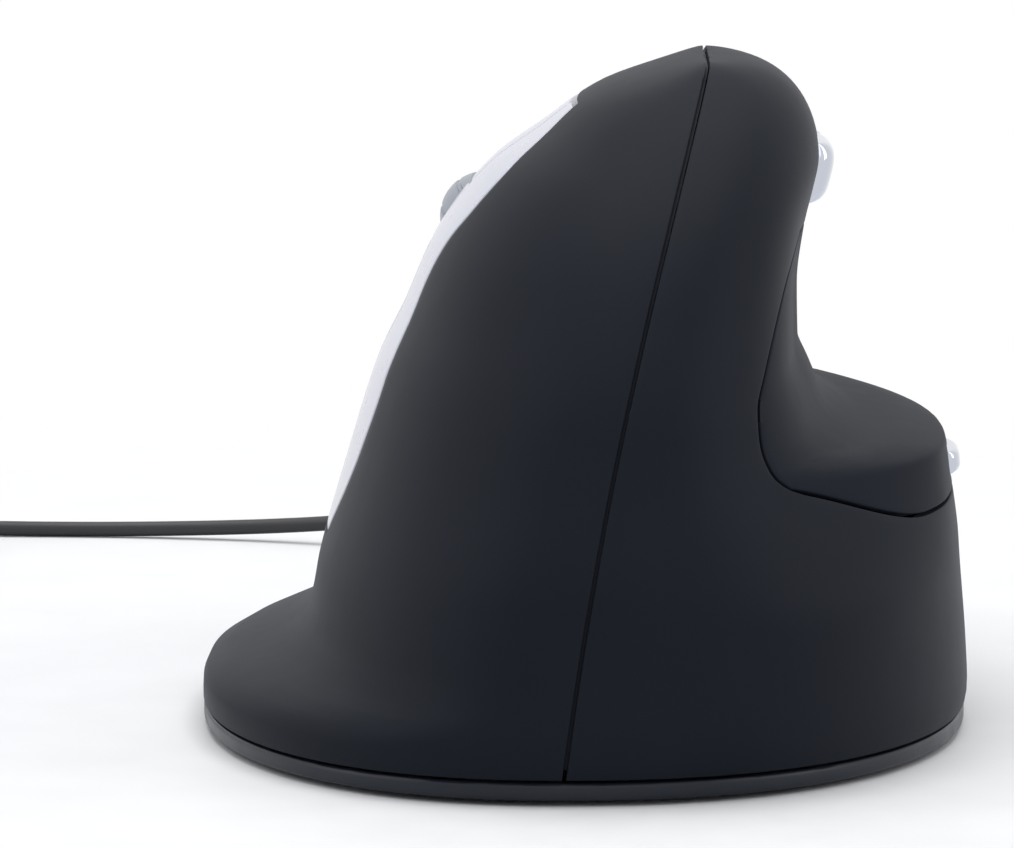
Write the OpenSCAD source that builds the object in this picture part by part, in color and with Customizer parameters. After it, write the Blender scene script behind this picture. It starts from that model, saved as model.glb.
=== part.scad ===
// Vertical ergonomic mouse for the left hand.
// +X is the thumb side, +Y the cord end, +Z up. The origin lies on the table under the middle of the body.

/* [Body] */
// Length of the body, front to back
body_l = 116; // [108:1:124]
// Height of the body
body_h = 71.5; // [68:0.5:75]
// Reach of the little-finger flange from the middle
flange_reach = 41; // [39:0.5:44]
// Reach of the thumb side's foot from the middle
thumb_reach = 41; // [39:0.5:44]
// Reach of the finger side just above the flange
finger_reach = 29; // [28:0.5:31]
// Height of the little-finger flange
flange_h = 10; // [9:0.5:12]
// Height of the thumb shelf
shelf_h = 32; // [30:0.5:34]
// Reach of the thumb notch at its deepest
notch_reach = 22.6; // [21.5:0.1:24]
// Reach of the brow above the thumb notch
brow_reach = 25.5; // [24.5:0.1:26.5]
// Where the leaning seam starts at the table, across the body
seam_foot = -3; // [-5:0.5:-1]
// Where the leaning seam ends at the ridge, across the body
ridge_x = 12.8; // [11:0.1:14]

/* [Shells] */
// Wall of the shells, the thumb rest and the finger panel
wall = 2; // [1.6:0.1:2.4]
// Wall of the button caps
cap_wall = 1.6; // [1.4:0.1:2]
// Gap between two fixed covers
seam_gap = 0.4; // [0.3:0.05:0.5]
// Gap round a button cap
press_gap = 0.6; // [0.5:0.05:0.8]
// Lowest edge of the finger panel
panel_z = 20.5; // [19:0.5:22]
// Drop from the thumb shelf to the lowest edge of the thumb rest
rest_drop = 6.6; // [6:0.1:7.4]

/* [Base] */
// Thickness of the glide feet
foot_t = 0.6; // [0.5:0.1:1]
// Thickness of the base plate
base_t = 1.8; // [1.6:0.1:2.4]
// Groove between the base plate and the shells
base_gap = 0.3; // [0.2:0.05:0.5]
// Height of the board posts on the base plate
post_h = 3; // [2.6:0.1:4]
// Thickness of the circuit boards
board_t = 1.6; // [1.2:0.1:2]
// Diameter of the screws' threads
screw_d = 2.4; // [2:0.1:3]

/* [Buttons] */
// Drop from the ridge to the top of the index button
index_drop = 4.9; // [4.5:0.1:5.5]
// Height of the index button
index_h = 9.4; // [8.8:0.1:10]
// Height of the wheel trim between the two buttons
trim_h = 6.2; // [5.8:0.1:6.8]
// Height of the middle button
middle_h = 11.2; // [10.4:0.1:12]
// Travel of the pushed buttons and of the wheel's click
push_travel = 0.6; // [0.4:0.05:0.8]
// Diameter of the levers' hinge pins
pin_d = 1.6; // [1.2:0.1:2]
// Running fit between pin or axle and bore, on the radius
running_fit = 0.05; // [0.03:0.01:0.08]

/* [Wheel] */
// Diameter of the scroll wheel
wheel_d = 21; // [19.5:0.5:22]
// Width of the scroll wheel
wheel_w = 6; // [5.4:0.1:6.2]
// Height of the wheel above the trim
wheel_proud = 1.7; // [1.4:0.1:2.4]
// Diameter of the wheel's axle
axle_d = 2.5; // [2:0.1:3]
// Distance of the wheel's axle from the front end of the body
wheel_set = 42; // [40:0.5:44]

/* [Cord] */
// Diameter of the cord
cord_d = 1.8; // [1.6:0.1:2]
// Height at which the cord leaves the body
cord_z = 11.6; // [10.5:0.1:12.5]
// Step between neighbouring turns of the coil
coil_step = 2.6; // [2.5:0.05:2.8]
// Radius of the coil's innermost turn
coil_inner_r = 4.8; // [4.6:0.1:6]
// Thickness of the tie round the coil
tie_t = 0.6; // [0.5:0.1:1]

/* [Hidden] */
$fn = 32;

finger_side = -1;
thumb_side = 1;
squareness = 2.2;
base_top = foot_t + base_t;
shell_foot = base_top + base_gap;
rise = body_h - flange_h;
brow_h = body_h - 13.5;
notch_top_z = (shelf_h + 10 + brow_h - 4.5) / 2;
rest_z = shelf_h - rest_drop;
index_top_z = body_h - index_drop;
index_z = index_top_z - index_h;
trim_z = index_z - trim_h;
middle_z = trim_z - middle_h;
wheel_y = body_l / 2 - wheel_set;
finger_cap_z = body_h - 30.5;
thumb_cap_z = body_h - 14.5;
thumb_cap_power = 2.5;
end_cap_z = body_h - 34.5;
scoop_start = -60;
scoop_turn = 45;
climb_h = 5.5;
climb_start = 24;
climb_turn = 34;
climb_low = 8;
climb_high = 46;
climb_fade = 16;
fall_h = 3;
fall_start = 5;
fall_turn = 45;
fall_end = 80;
fall_fade = 16;

// Profiles: height, then reach from the middle (finger, thumb) or from the centre line (ends)
finger_profile = [
    [0, flange_reach - 1],
    [3, flange_reach + 0.2],
    [flange_h - 4.5, flange_reach + 0.1],
    [flange_h - 2.6, flange_reach - 2.8],
    [flange_h - 0.8, flange_reach - 7.9],
    [flange_h + 0.6, finger_reach + 2],
    [flange_h + 2.5, finger_reach + 0.7],
    [flange_h + 7.5, finger_reach - 0.3],
    [flange_h + rise * 0.3, finger_reach - 3.4],
    [flange_h + rise * 0.46, finger_reach - 6.5],
    [flange_h + rise * 0.57, finger_reach - 9.5],
    [flange_h + rise * 0.7, finger_reach - 11.4],
    [flange_h + rise * 0.81, finger_reach - 13.6],
    [flange_h + rise * 0.88, finger_reach - 16.8],
    [flange_h + rise * 0.94, finger_reach - 18.2],
    [body_h, finger_reach - 29]
];
scoop_profile = [
    [0, thumb_reach - 1],
    [4.5, thumb_reach],
    [9, thumb_reach - 0.2],
    [18, thumb_reach - 0.9],
    [shelf_h - 11, thumb_reach - 1.1],
    [shelf_h - 4.5, thumb_reach - 2],
    [shelf_h - 1.2, thumb_reach - 2.5],
    [shelf_h + 0.2, thumb_reach - 6.8],
    [shelf_h + 0.8, notch_reach + 6.8],
    [shelf_h + 3, notch_reach + 3],
    [shelf_h + 6, notch_reach + 1.5],
    [shelf_h + 10, notch_reach],
    [notch_top_z, notch_reach - 0.1],
    [brow_h - 4.5, brow_reach - 2.3],
    [brow_h, brow_reach - 1.2],
    [brow_h + 3, brow_reach - 0.4],
    [body_h, brow_reach + 0.7]
];
heel_profile = [
    [0, thumb_reach - 1],
    [4.5, thumb_reach],
    [9, thumb_reach - 0.2],
    [18, thumb_reach - 1],
    [shelf_h - 11, thumb_reach - 3.4],
    [shelf_h - 3, thumb_reach - 9],
    [shelf_h + 4, notch_reach + 4.9],
    [shelf_h + 10, notch_reach + 3.4],
    [brow_h - 4.5, brow_reach - 0.1],
    [brow_h + 3, brow_reach],
    [body_h, brow_reach + 0.1]
];
rear_profile = [
    [0, body_l / 2 - 2],
    [8, body_l / 2],
    [20, body_l / 2 - 0.6],
    [body_h - 39.5, body_l / 2 - 4.5],
    [body_h - 24.5, body_l / 2 - 10.8],
    [body_h - 14.5, body_l / 2 - 14.5],
    [body_h - 6.5, body_l / 2 - 19.5],
    [body_h, body_l / 2 - 26]
];
front_profile = [
    [0, body_l / 2 - 1.5],
    [8, body_l / 2],
    [22, body_l / 2 - 0.5],
    [body_h - 36.5, body_l / 2 - 4],
    [body_h - 22.5, body_l / 2 - 9.5],
    [body_h - 12.5, body_l / 2 - 13.6],
    [body_h - 6.5, body_l / 2 - 17.4],
    [body_h, body_l / 2 - 26]
];
ridge_half = 8;

// Borders of the covers: height, then the angle round the body where the cover starts
panel_border = [
    [panel_z, -5],
    [panel_z + 6, -12.5],
    [panel_z + 11, -16],
    [panel_z + 16, -17.5],
    [middle_z, -16.5],
    [middle_z + 4.5, -15],
    [trim_z - 4, -15],
    [trim_z + 2, -17],
    [index_z - 0.7, -20.5],
    [index_z + 2.3, -21.5],
    [index_z + 5.2, -17],
    [index_top_z, -8]
];
rest_top_z = brow_h - 3.6;
rest_rise = rest_top_z - rest_z;
rest_border = [
    [rest_z, -50],
    [rest_z + rest_rise * 0.009, -52.4],
    [rest_z + rest_rise * 0.026, -53.9],
    [rest_z + rest_rise * 0.05, -55],
    [rest_z + rest_rise * 0.15, -56],
    [rest_z + rest_rise * 0.32, -55.5],
    [rest_z + rest_rise * 0.5, -53],
    [rest_z + rest_rise * 0.65, -50],
    [rest_z + rest_rise * 0.84, -41],
    [rest_top_z, -24]
];
panel_end = 54;
rest_end = 60;
edge_turn = 0.7;

// Upper bright buttons and the speed button: heights and angles of their openings
bright_z = brow_h - 2.7;
bright_top_z = brow_h + 4.8;
bright_start = -6;
bright_end = 34;
speed_z = rest_z + 1;
speed_top_z = rest_z + 4.6;

function clamp(x, low, high) = min(max(x, low), high);
function mix(a, b, u) = a + (b - a) * u;
function unit(v) = v / norm(v);
function smooth(u) = let (k = clamp(u, 0, 1)) k * k * (3 - 2 * k);
function span(a, b, n) = [for (i = [0:n - 1]) mix(a, b, i / n)];

// Smooth curve through points that never overshoots them
function piece_of(p, x) = clamp(len([for (q = p) if (q[0] <= x) 1]) - 1, 0, len(p) - 2);
function rate(p, i) = (p[i + 1][1] - p[i][1]) / (p[i + 1][0] - p[i][0]);
function gentle(a, b) = a * b <= 0 ? 0 : 2 * a * b / (a + b);
function slope_at(p, i) =
    i == 0 ? rate(p, 0) : i == len(p) - 1 ? rate(p, i - 1) : gentle(rate(p, i - 1), rate(p, i));
function curve(p, x) =
    let (
        i = piece_of(p, x),
        h = p[i + 1][0] - p[i][0],
        u = clamp((x - p[i][0]) / h, 0, 1),
        bend = u * u * (3 - 2 * u)
    )
    mix(p[i][1], p[i + 1][1], bend)
        + h * u * (1 - u) * ((1 - u) * slope_at(p, i) - u * slope_at(p, i + 1));

// The body: level sections of two half ovals that meet on a leaning, slightly bowed face
function lean(z) = let (t = z / body_h) seam_foot + (ridge_x - seam_foot) * t * (1 + t) / 2;
function dome(z, start, power = 2) =
    pow(1 - pow(clamp((z - start) / (body_h - start), 0, 1), power), 1 / power);
function scoop(a) = smooth((a - scoop_start) / scoop_turn);
function finger_half(z) = (curve(finger_profile, z) + lean(z)) * dome(z, finger_cap_z);
function thumb_half(a, z) =
    (mix(curve(heel_profile, z), curve(scoop_profile, z), scoop(a)) - lean(z))
        * dome(z, thumb_cap_z, thumb_cap_power);
function end_reach(profile, z) = ridge_half + (curve(profile, z) - ridge_half) * dome(z, end_cap_z);
function half_width(side, a, z) = side < 0 ? finger_half(z) : thumb_half(a, z);
function body_point(side, a, z) =
    let (
        half = half_width(side, a, z) - seam_gap / 2,
        across = pow(abs(cos(a)), 2 / squareness),
        along = sign(a) * pow(abs(sin(a)), 2 / squareness)
    )
    [
        lean(z) + side * (seam_gap / 2 + max(half, 0) * across),
        along * end_reach(a < 0 ? rear_profile : front_profile, z),
        z
    ];
function body_normal(side, a, z) =
    let (
        b = clamp(a, -87, 87),
        h = min(z, body_h - 0.2),
        round_step = body_point(side, b + 1, h) - body_point(side, b - 1, h),
        up_step = body_point(side, b, h + 0.1) - body_point(side, b, h - 0.1)
    )
    side * unit(cross(round_step, up_step));

// A point below the body's skin, kept on its own side of the seam and above the base
function inset(side, a, z, depth) =
    let (
        q = body_point(side, a, z) - depth * body_normal(side, a, z),
        h = max(q.z, shell_foot),
        off = max(side * (q.x - lean(h)), seam_gap / 2)
    )
    [lean(h) + side * off, q.y, h];

// The thumb rest's lower border climbs towards the heel
function climb(a, z) =
    let (
        fade = smooth((z - climb_low) / climb_fade) * smooth((climb_high - z) / climb_fade),
        rear_rise = climb_h * smooth((-a - climb_start) / climb_turn),
        front_fall = fall_h * smooth((a - fall_start) / fall_turn) * smooth((fall_end - a) / fall_fade)
    )
    z + (rear_rise - front_fall) * fade;

// Closed skin between an outer and an inner grid, leaving out the cells of the openings
module skin(outer, inner, side, openings = []) {
    rows = len(outer) - 1;
    cols = len(outer[0]) - 1;
    inner_start = (rows + 1) * (cols + 1);
    function held(o, i, j) = i >= o[0] && i < o[1] && j >= o[2] && j < o[3];
    function is_open(i, j) = len([for (o = openings) if (held(o, i, j)) 1]) > 0;
    function filled(i, j) = i >= 0 && i < rows && j >= 0 && j < cols && !is_open(i, j);
    function at(i, j) = i * (cols + 1) + j;
    function under(i, j) = inner_start + at(i, j);
    function two(a, b, c, d) = side > 0 ? [[a, b, c], [a, c, d]] : [[c, b, a], [d, c, a]];
    function rim(i, j, k, l) = two(at(i, j), at(k, l), under(k, l), under(i, j));
    cells = [for (j = [cols - 1:-1:0]) for (i = [0:rows - 1]) if (filled(i, j)) [i, j]];
    faces = [for (c = cells) let (i = c[0], j = c[1]) each concat(
        two(at(i, j), at(i + 1, j), at(i + 1, j + 1), at(i, j + 1)),
        two(under(i, j), under(i, j + 1), under(i + 1, j + 1), under(i + 1, j)),
        filled(i - 1, j) ? [] : rim(i, j, i, j + 1),
        filled(i + 1, j) ? [] : rim(i + 1, j + 1, i + 1, j),
        filled(i, j - 1) ? [] : rim(i + 1, j, i, j),
        filled(i, j + 1) ? [] : rim(i, j + 1, i + 1, j + 1)
    )];
    polyhedron(concat([for (r = outer) each r], [for (r = inner) each r]), faces);
}

// Grid of points on the body: heights, and the angles as a function of the height
function cover_grid(side, heights, angles, depth) =
    [for (z = heights) [for (a = angles(z)) inset(side, a, side > 0 ? climb(a, z) : z, depth)]];

// Openings for the strain relief, half in each shell
relief_w = 6.2;
relief_h = 5.6;
relief_low = cord_z - relief_h / 2 - seam_gap;
relief_high = cord_z + relief_h / 2 + seam_gap;
function relief_angle(side, z) =
    acos(pow((relief_w / 2 + seam_gap) / half_width(side, 80, min(z, relief_high)), squareness / 2));

function closing_heights(start, n) = [for (i = [0:n]) body_h - (body_h - start) * pow(1 - i / n, 2)];

palm_heights = concat(
    span(shell_foot, relief_low, 3),
    span(relief_low, relief_high, 4),
    span(relief_high, panel_z, 3),
    span(panel_z, index_top_z, 16),
    closing_heights(index_top_z, 6)
);
palm_angles = function (z) let (p = curve(panel_border, z), r = relief_angle(finger_side, z)) concat(
    span(-90, p, 9),
    span(p, 0, 3),
    span(0, panel_end, 7),
    span(panel_end, r, 4),
    [r, 90]
);
palm_openings = [[10, 26, 9, 19], [3, 7, 23, 24]];

thumb_heights = concat(
    span(shell_foot, relief_low, 2),
    span(relief_low, relief_high, 3),
    span(relief_high, rest_z, 4),
    span(rest_z, shelf_h - 3.6, 3),
    span(shelf_h - 3.6, shelf_h + 4.5, 9),
    span(shelf_h + 4.5, rest_top_z, 6),
    span(rest_top_z, bright_z, 1),
    span(bright_z, bright_top_z, 3),
    closing_heights(bright_top_z, 8)
);
thumb_angles = function (z) let (p = curve(rest_border, z), r = relief_angle(thumb_side, z)) concat(
    span(-90, p, 8),
    span(p, bright_start, 5),
    span(bright_start, bright_end, 8),
    span(bright_end, rest_end, 4),
    span(rest_end, r, 3),
    [r, 90]
);
thumb_openings = [[9, 27, 8, 25], [28, 31, 13, 21], [2, 5, 28, 29]];

rest_heights = concat(
    [rest_z + seam_gap],
    span(speed_z, speed_top_z, 2),
    span(speed_top_z, shelf_h + 4.5, 10),
    span(shelf_h + 4.5, rest_top_z - seam_gap, 6),
    [rest_top_z - seam_gap]
);
speed_start = -6;
speed_end = 4;
rest_angles = function (z) concat(
    span(curve(rest_border, z) + edge_turn, speed_start, 7),
    span(speed_start, speed_end, 2),
    span(speed_end, rest_end - edge_turn, 8),
    [rest_end - edge_turn]
);
rest_openings = [[1, 3, 7, 9]];

// Finger side: one panel runs round the rear of the two click buttons and up to the wheel
button_start = 2;
button_gap = 0.5;
strip_end = button_start - button_gap / 2;
cap_start = button_start + button_gap / 2;
cap_end = panel_end - 2 * edge_turn;
panel_front = panel_end - edge_turn;
panel_top = middle_z - press_gap / 2;
trim_low = trim_z + press_gap / 2;
trim_high = index_z - press_gap / 2;
panel_heights = concat(
    span(panel_z + seam_gap, panel_top, 8),
    span(panel_top, trim_low, 5),
    span(trim_low, trim_high, 3),
    span(trim_high, index_top_z - seam_gap, 5),
    [index_top_z - seam_gap]
);
panel_angles = function (z) let (slot = angle_at(wheel_y - wheel_open, trim_mid_z)) concat(
    span(curve(panel_border, z) + edge_turn, strip_end, 5),
    span(strip_end, slot, 2),
    span(slot, panel_front, 8),
    [panel_front]
);
panel_openings = [[8, 13, 5, 15], [13, 16, 7, 15], [16, 21, 5, 15]];
cap_angles = function (z) concat(span(cap_start, cap_end, 11), [cap_end]);

module cover(side, heights, angles, depth, openings = []) {
    skin(cover_grid(side, heights, angles, 0), cover_grid(side, heights, angles, depth), side, openings);
}

module palm_shell() {
    color("#2b2d33") cover(finger_side, palm_heights, palm_angles, wall, palm_openings);
}

module thumb_shell() {
    color("#2b2d33") cover(thumb_side, thumb_heights, thumb_angles, wall, thumb_openings);
}

module thumb_rest() {
    color("#303238") cover(thumb_side, rest_heights, rest_angles, wall, rest_openings);
}

module finger_panel() {
    color("#dfe2ee") cover(finger_side, panel_heights, panel_angles, cap_wall, panel_openings);
}

module click_cap(low, high) {
    heights = concat(span(low, high, 5), [high]);
    color("#dfe2ee") cover(finger_side, heights, cap_angles, cap_wall);
}

middle_low = middle_z + press_gap / 2;
middle_high = trim_z - press_gap / 2;
index_low = index_z + press_gap / 2;
index_high = index_top_z - press_gap;

module middle_cap() {
    click_cap(middle_low, middle_high);
}

module index_cap() {
    click_cap(index_low, index_high);
}

// Scroll wheel: its axle lies up the slope of the trim, and its rim runs along the trim
wheel_r = wheel_d / 2;
function angle_at(y, z) = asin(pow(y / end_reach(front_profile, z), squareness / 2));
trim_mid_z = (trim_z + index_z) / 2;
wheel_turn = angle_at(wheel_y, trim_mid_z);
trim_low_point = body_point(finger_side, wheel_turn, trim_z);
trim_high_point = body_point(finger_side, wheel_turn, index_z);
trim_slope = trim_high_point - trim_low_point;
wheel_ahead = unit(
    body_point(finger_side, wheel_turn + 1, trim_mid_z) - body_point(finger_side, wheel_turn - 1, trim_mid_z)
);
wheel_axis = unit(trim_slope - (trim_slope * wheel_ahead) * wheel_ahead);
wheel_out = cross(wheel_axis, wheel_ahead);
wheel_centre = (trim_low_point + trim_high_point) / 2 - (wheel_r - wheel_proud) * wheel_out;
wheel_open = sqrt(pow(wheel_r, 2) - pow(wheel_r - wheel_proud - wall, 2)) + 2 * press_gap;

// Trim ahead of the wheel, between the two buttons
module wheel_trim() {
    start = angle_at(wheel_y + wheel_open, trim_mid_z);
    angles = function (z) concat(span(start, panel_front, 4), [panel_front]);
    color("#dfe2ee") cover(finger_side, concat(span(trim_low, trim_high, 3), [trim_high]), angles, cap_wall);
}

// Places children in a frame given by its origin and two of its directions
module place(origin, across, forward) {
    up = cross(across, forward);
    multmatrix([
        [across.x, forward.x, up.x, origin.x],
        [across.y, forward.y, up.y, origin.y],
        [across.z, forward.z, up.z, origin.z]
    ]) children();
}

module across_rod(r, l) {
    rotate([0, 90, 0]) cylinder(r = r, h = l, center = true);
}

module block(low, high) {
    translate(low) cube(high - low);
}

module at_wheel() {
    place(wheel_centre, wheel_axis, wheel_ahead) children();
}

axle_r = axle_d / 2;
tyre_t = 2.2;
hub_r = wheel_r - tyre_t;
wheel_half = wheel_w / 2;
crown_r = 4.6;
cheek_gap = 0.4;
cheek_t = 1.4;
cheek_out = wheel_half + cheek_gap + cheek_t;
cheek_h = 3.5;
hub_inset = 0.6;
boss_t = 1.6;
encoder_t = 4;
bridge_start = wheel_r + press_gap;
bridge_end = bridge_start + 3.4;
bridge_top = -1;
guide_top = bridge_top - 1;

module wheel_hub() {
    color("#c9ccd6") at_wheel() difference() {
        union() {
            across_rod(hub_r, wheel_w - 2 * hub_inset);
            across_rod(axle_r + boss_t, wheel_w);
        }
        across_rod(axle_r, wheel_w + 1);
    }
}

// Crowned ring round the hub
module wheel_tyre() {
    color("#b9bcc8") at_wheel() rotate([0, 90, 0]) rotate_extrude() intersection() {
        translate([hub_r, -wheel_half]) square([tyre_t, wheel_w]);
        translate([wheel_r - crown_r, 0]) circle(r = crown_r);
    }
}

module wheel_axle() {
    color("#8f9299") at_wheel() translate([encoder_t / 2, 0, 0])
        across_rod(axle_r, 2 * cheek_out + encoder_t);
}

module wheel_carrier() {
    color("#50525a") at_wheel() difference() {
        union() {
            for (s = [-1, 1]) {
                cheek_x = s > 0 ? cheek_out - cheek_t : -cheek_out;
                block([cheek_x, -cheek_h, -cheek_h], [cheek_x + cheek_t, cheek_h, cheek_h]);
                block([cheek_x, 0, -cheek_h], [cheek_x + cheek_t, bridge_end, bridge_top]);
            }
            block([-cheek_out, bridge_start, -cheek_h], [cheek_out, bridge_end, bridge_top]);
        }
        across_rod(axle_r + running_fit, 2 * cheek_out + 2);
    }
}

module scroll_encoder() {
    color("#2f6f4f") at_wheel() difference() {
        block([cheek_out, -cheek_h, -cheek_h], [cheek_out + encoder_t, cheek_h, cheek_h]);
        translate([cheek_out, 0, 0]) across_rod(axle_r + running_fit, 3 * encoder_t);
    }
}

// Levers under the click buttons: hinge near the rear, switch further forward
pin_r = pin_d / 2;
barrel_r = pin_r + 1;
barrel_l = 6;
arm_w = 5;
arm_t = 1.4;
seat_gap = 0.3;
ear_t = 1.6;
ear_w = 5;
ear_top = pin_r + 0.6;
ledge_w = 4;
switch_h = 4;
switch_w = 6;
switch_stub = 0.6;
stub_r = 0.8;
stub_inset = 1;
arm_over = 2;
press_fit = 0.01;
function chord(low, high, a) = [inset(finger_side, a, low, cap_wall), inset(finger_side, a, high, cap_wall)];
function mid_of(c) = (c[0] + c[1]) / 2;
function lever_of(low, high, hinge_a, switch_a) =
    let (
        rear = chord(low, high, hinge_a),
        fore = chord(low, high, switch_a),
        axis = unit([rear[1].x - rear[0].x, 0, rear[1].z - rear[0].z]),
        run = mid_of(fore) - mid_of(rear),
        flat_run = run - (run * axis) * axis,
        arm = unit(flat_run),
        out = cross(axis, arm)
    )
    [mid_of(rear) - (barrel_r + seat_gap) * out, axis, arm, norm(flat_run), out];
middle_frame = lever_of(middle_low, middle_high, -12, 3.5);
index_frame = lever_of(index_low, index_high, -7.5, 8.5);
echo(index_hinge = index_frame[0], index_axis = index_frame[1], index_arm = index_frame[3]);
echo(middle_hinge = middle_frame[0], middle_axis = middle_frame[1], middle_arm = middle_frame[3]);
echo(wheel_centre = wheel_centre, wheel_axis = wheel_axis, wheel_out = wheel_out, wheel_ahead = wheel_ahead);

module at_lever(f) {
    place(f[0], f[1], f[2]) children();
}

module lever(f) {
    color("#50525a") at_lever(f) difference() {
        union() {
            across_rod(barrel_r, barrel_l);
            block([-arm_w / 2, 0, barrel_r - arm_t], [arm_w / 2, f[3] + arm_over, barrel_r]);
        }
        across_rod(pin_r + running_fit, barrel_l + 1);
    }
}

module index_lever() {
    lever(index_frame);
}

module middle_lever() {
    lever(middle_frame);
}

module hinge_pins() {
    color("silver") for (f = [index_frame, middle_frame])
        at_lever(f) across_rod(pin_r, barrel_l + 2 * (seat_gap + ear_t));
}

// Snap switch below the end of a lever's arm
switch_top = barrel_r - arm_t - push_travel;
module click_switches() {
    color("#202124") for (f = [index_frame, middle_frame]) at_lever(f) {
        end = f[3] + arm_over;
        body_top = switch_top - switch_stub;
        block([-switch_w / 2, end - switch_w, body_top - switch_h], [switch_w / 2, end, body_top]);
        translate([0, f[3] - stub_inset, body_top]) cylinder(r = stub_r, h = switch_stub);
    }
}

// Inner frame: a leaning spine on two feet, with arms to the hinges, switches, wheel and thumb board
spine_t = 3;
spine_lean = atan((ridge_x - seam_foot) / body_h);
spine_rear = -body_l / 2 + 12;
spine_front = body_l / 2 - 22;
spine_top = body_h - 11;
leg_w = 6;
foot_h = 3;
foot_w = 26;
foot_l = 10;
rear_foot_y = spine_rear + leg_w / 2;
front_foot_y = spine_front - leg_w / 2;
function spine_x(z) = seam_foot + (ridge_x - seam_foot) * z / body_h;
function spine_reach(o, inward) = (spine_x(o.z) - o.x) / (inward.x - inward.z * tan(spine_lean));

module spine() {
    outline = [
        [spine_rear, base_top + 1],
        [spine_rear + 6, spine_top * 0.5],
        [spine_rear + 16, spine_top * 0.8],
        [spine_rear + 30, spine_top],
        [spine_front - 20, spine_top],
        [spine_front - 6, spine_top * 0.8],
        [spine_front, spine_top * 0.5],
        [spine_front, base_top + 1],
        [spine_front - leg_w, base_top + 1],
        [spine_front - leg_w, spine_top * 0.3],
        [spine_rear + leg_w + 3, spine_top * 0.3],
        [spine_rear + leg_w, base_top + 1]
    ];
    translate([seam_foot, 0, 0]) rotate([0, spine_lean, 0]) rotate([90, 0, 90])
        linear_extrude(spine_t, center = true) polygon(outline);
}

module frame_foot(y) {
    block([seam_foot - foot_w / 2, y - foot_l / 2, base_top],
        [seam_foot + foot_w / 2, y + foot_l / 2, base_top + foot_h]);
}

module lever_mount(f) {
    ear_start = barrel_l / 2 + seat_gap;
    ledge = switch_top - switch_stub - switch_h;
    switch_reach = spine_reach(f[0] + f[3] * f[2], -f[4]);
    at_lever(f) {
        for (s = [-1, 1]) {
            low_x = s > 0 ? ear_start : -ear_start - ear_t;
            reach = spine_reach(f[0] + (low_x + ear_t / 2) * f[1], -f[4]);
            difference() {
                block([low_x, -ear_w / 2, -reach], [low_x + ear_t, ear_w / 2, ear_top]);
                across_rod(pin_r + press_fit, 4 * barrel_l);
            }
        }
        block([-ledge_w / 2, f[3] - ledge_w, -switch_reach], [ledge_w / 2, f[3], ledge]);
    }
}

wheel_reach = spine_reach(wheel_centre + bridge_start * wheel_ahead, -wheel_out);
wheel_switch_h = 2.4;
wheel_switch_w = 6;
wheel_switch_low = -cheek_h - push_travel - seat_gap - wheel_switch_h;
wheel_post_w = 5;
sill_t = 2;
sill_low = wheel_switch_low - sill_t;
module wheel_mount() {
    side = cheek_out + seat_gap;
    at_wheel() {
        block([-wheel_post_w / 2, bridge_start, -wheel_reach],
            [wheel_post_w / 2, bridge_end, sill_low + sill_t / 2]);
        block([-side - ear_t, bridge_start, sill_low], [side + ear_t, bridge_end, wheel_switch_low]);
        for (s = [-1, 1]) {
            low_x = s > 0 ? side : -side - ear_t;
            block([low_x, bridge_start, sill_low], [low_x + ear_t, bridge_end, guide_top]);
        }
    }
}

module wheel_switch() {
    half_w = wheel_switch_w / 2;
    color("#202124") at_wheel()
        block([-half_w, bridge_start, wheel_switch_low],
            [half_w, bridge_end, wheel_switch_low + wheel_switch_h]);
}

bright_mid_z = (bright_z + bright_top_z) / 2;
bright_mid = (bright_start + bright_end) / 2;
thumb_post_h = 4.5;
thumb_board_x = spine_x(bright_mid_z) + spine_t / 2 + thumb_post_h;
thumb_posts = [-2, 11];
thumb_post_r = 2.2;
thread_fit = 0.02;
frame_screw_x = 9;
frame_screws = [for (s = [-1, 1]) for (y = [rear_foot_y, front_foot_y]) [seam_foot + s * frame_screw_x, y]];

module inner_frame() {
    color("#6a6d75") difference() {
        union() {
            spine();
            frame_foot(rear_foot_y);
            frame_foot(front_foot_y);
            lever_mount(index_frame);
            lever_mount(middle_frame);
            wheel_mount();
            for (y = thumb_posts) translate([spine_x(bright_mid_z), y, bright_mid_z])
                rotate([0, 90, 0]) cylinder(r = thumb_post_r, h = thumb_board_x - spine_x(bright_mid_z));
        }
        for (p = frame_screws) translate([p.x, p.y, base_top - 1])
            cylinder(r = screw_d / 2 + thread_fit, h = foot_h + 2);
    }
}

// Bright push buttons on the thumb side: pillows that stand a little above their covers
bright_bulge = 1.8;
speed_bulge = 1.2;
bright_margin = press_gap;
function crown(u) = sqrt(max(1 - pow(2 * u - 1, 4), 0));
module pillow(low, high, start, end, rows, cols, bulge) {
    heights = concat(span(low, high, rows), [high]);
    turns = concat(span(start, end, cols), [end]);
    outer = [for (i = [0:rows]) [for (j = [0:cols])
        inset(thumb_side, turns[j], heights[i], -bulge * crown(i / rows) * crown(j / cols))]];
    inner = [for (z = heights) [for (a = turns) inset(thumb_side, a, z, cap_wall)]];
    color("#e8e9ee") skin(outer, inner, thumb_side);
}

module back_button() {
    pillow(bright_z + press_gap, bright_top_z - press_gap, bright_start + bright_margin,
        bright_mid - bright_margin / 2, 8, 10, bright_bulge);
}

module forward_button() {
    pillow(bright_z + press_gap, bright_top_z - press_gap, bright_mid + bright_margin / 2,
        bright_end - 2 * bright_margin, 8, 10, bright_bulge);
}

module speed_button() {
    pillow(speed_z + press_gap, speed_top_z - press_gap, speed_start + bright_margin,
        speed_end - bright_margin, 8, 10, speed_bulge);
}

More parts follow.
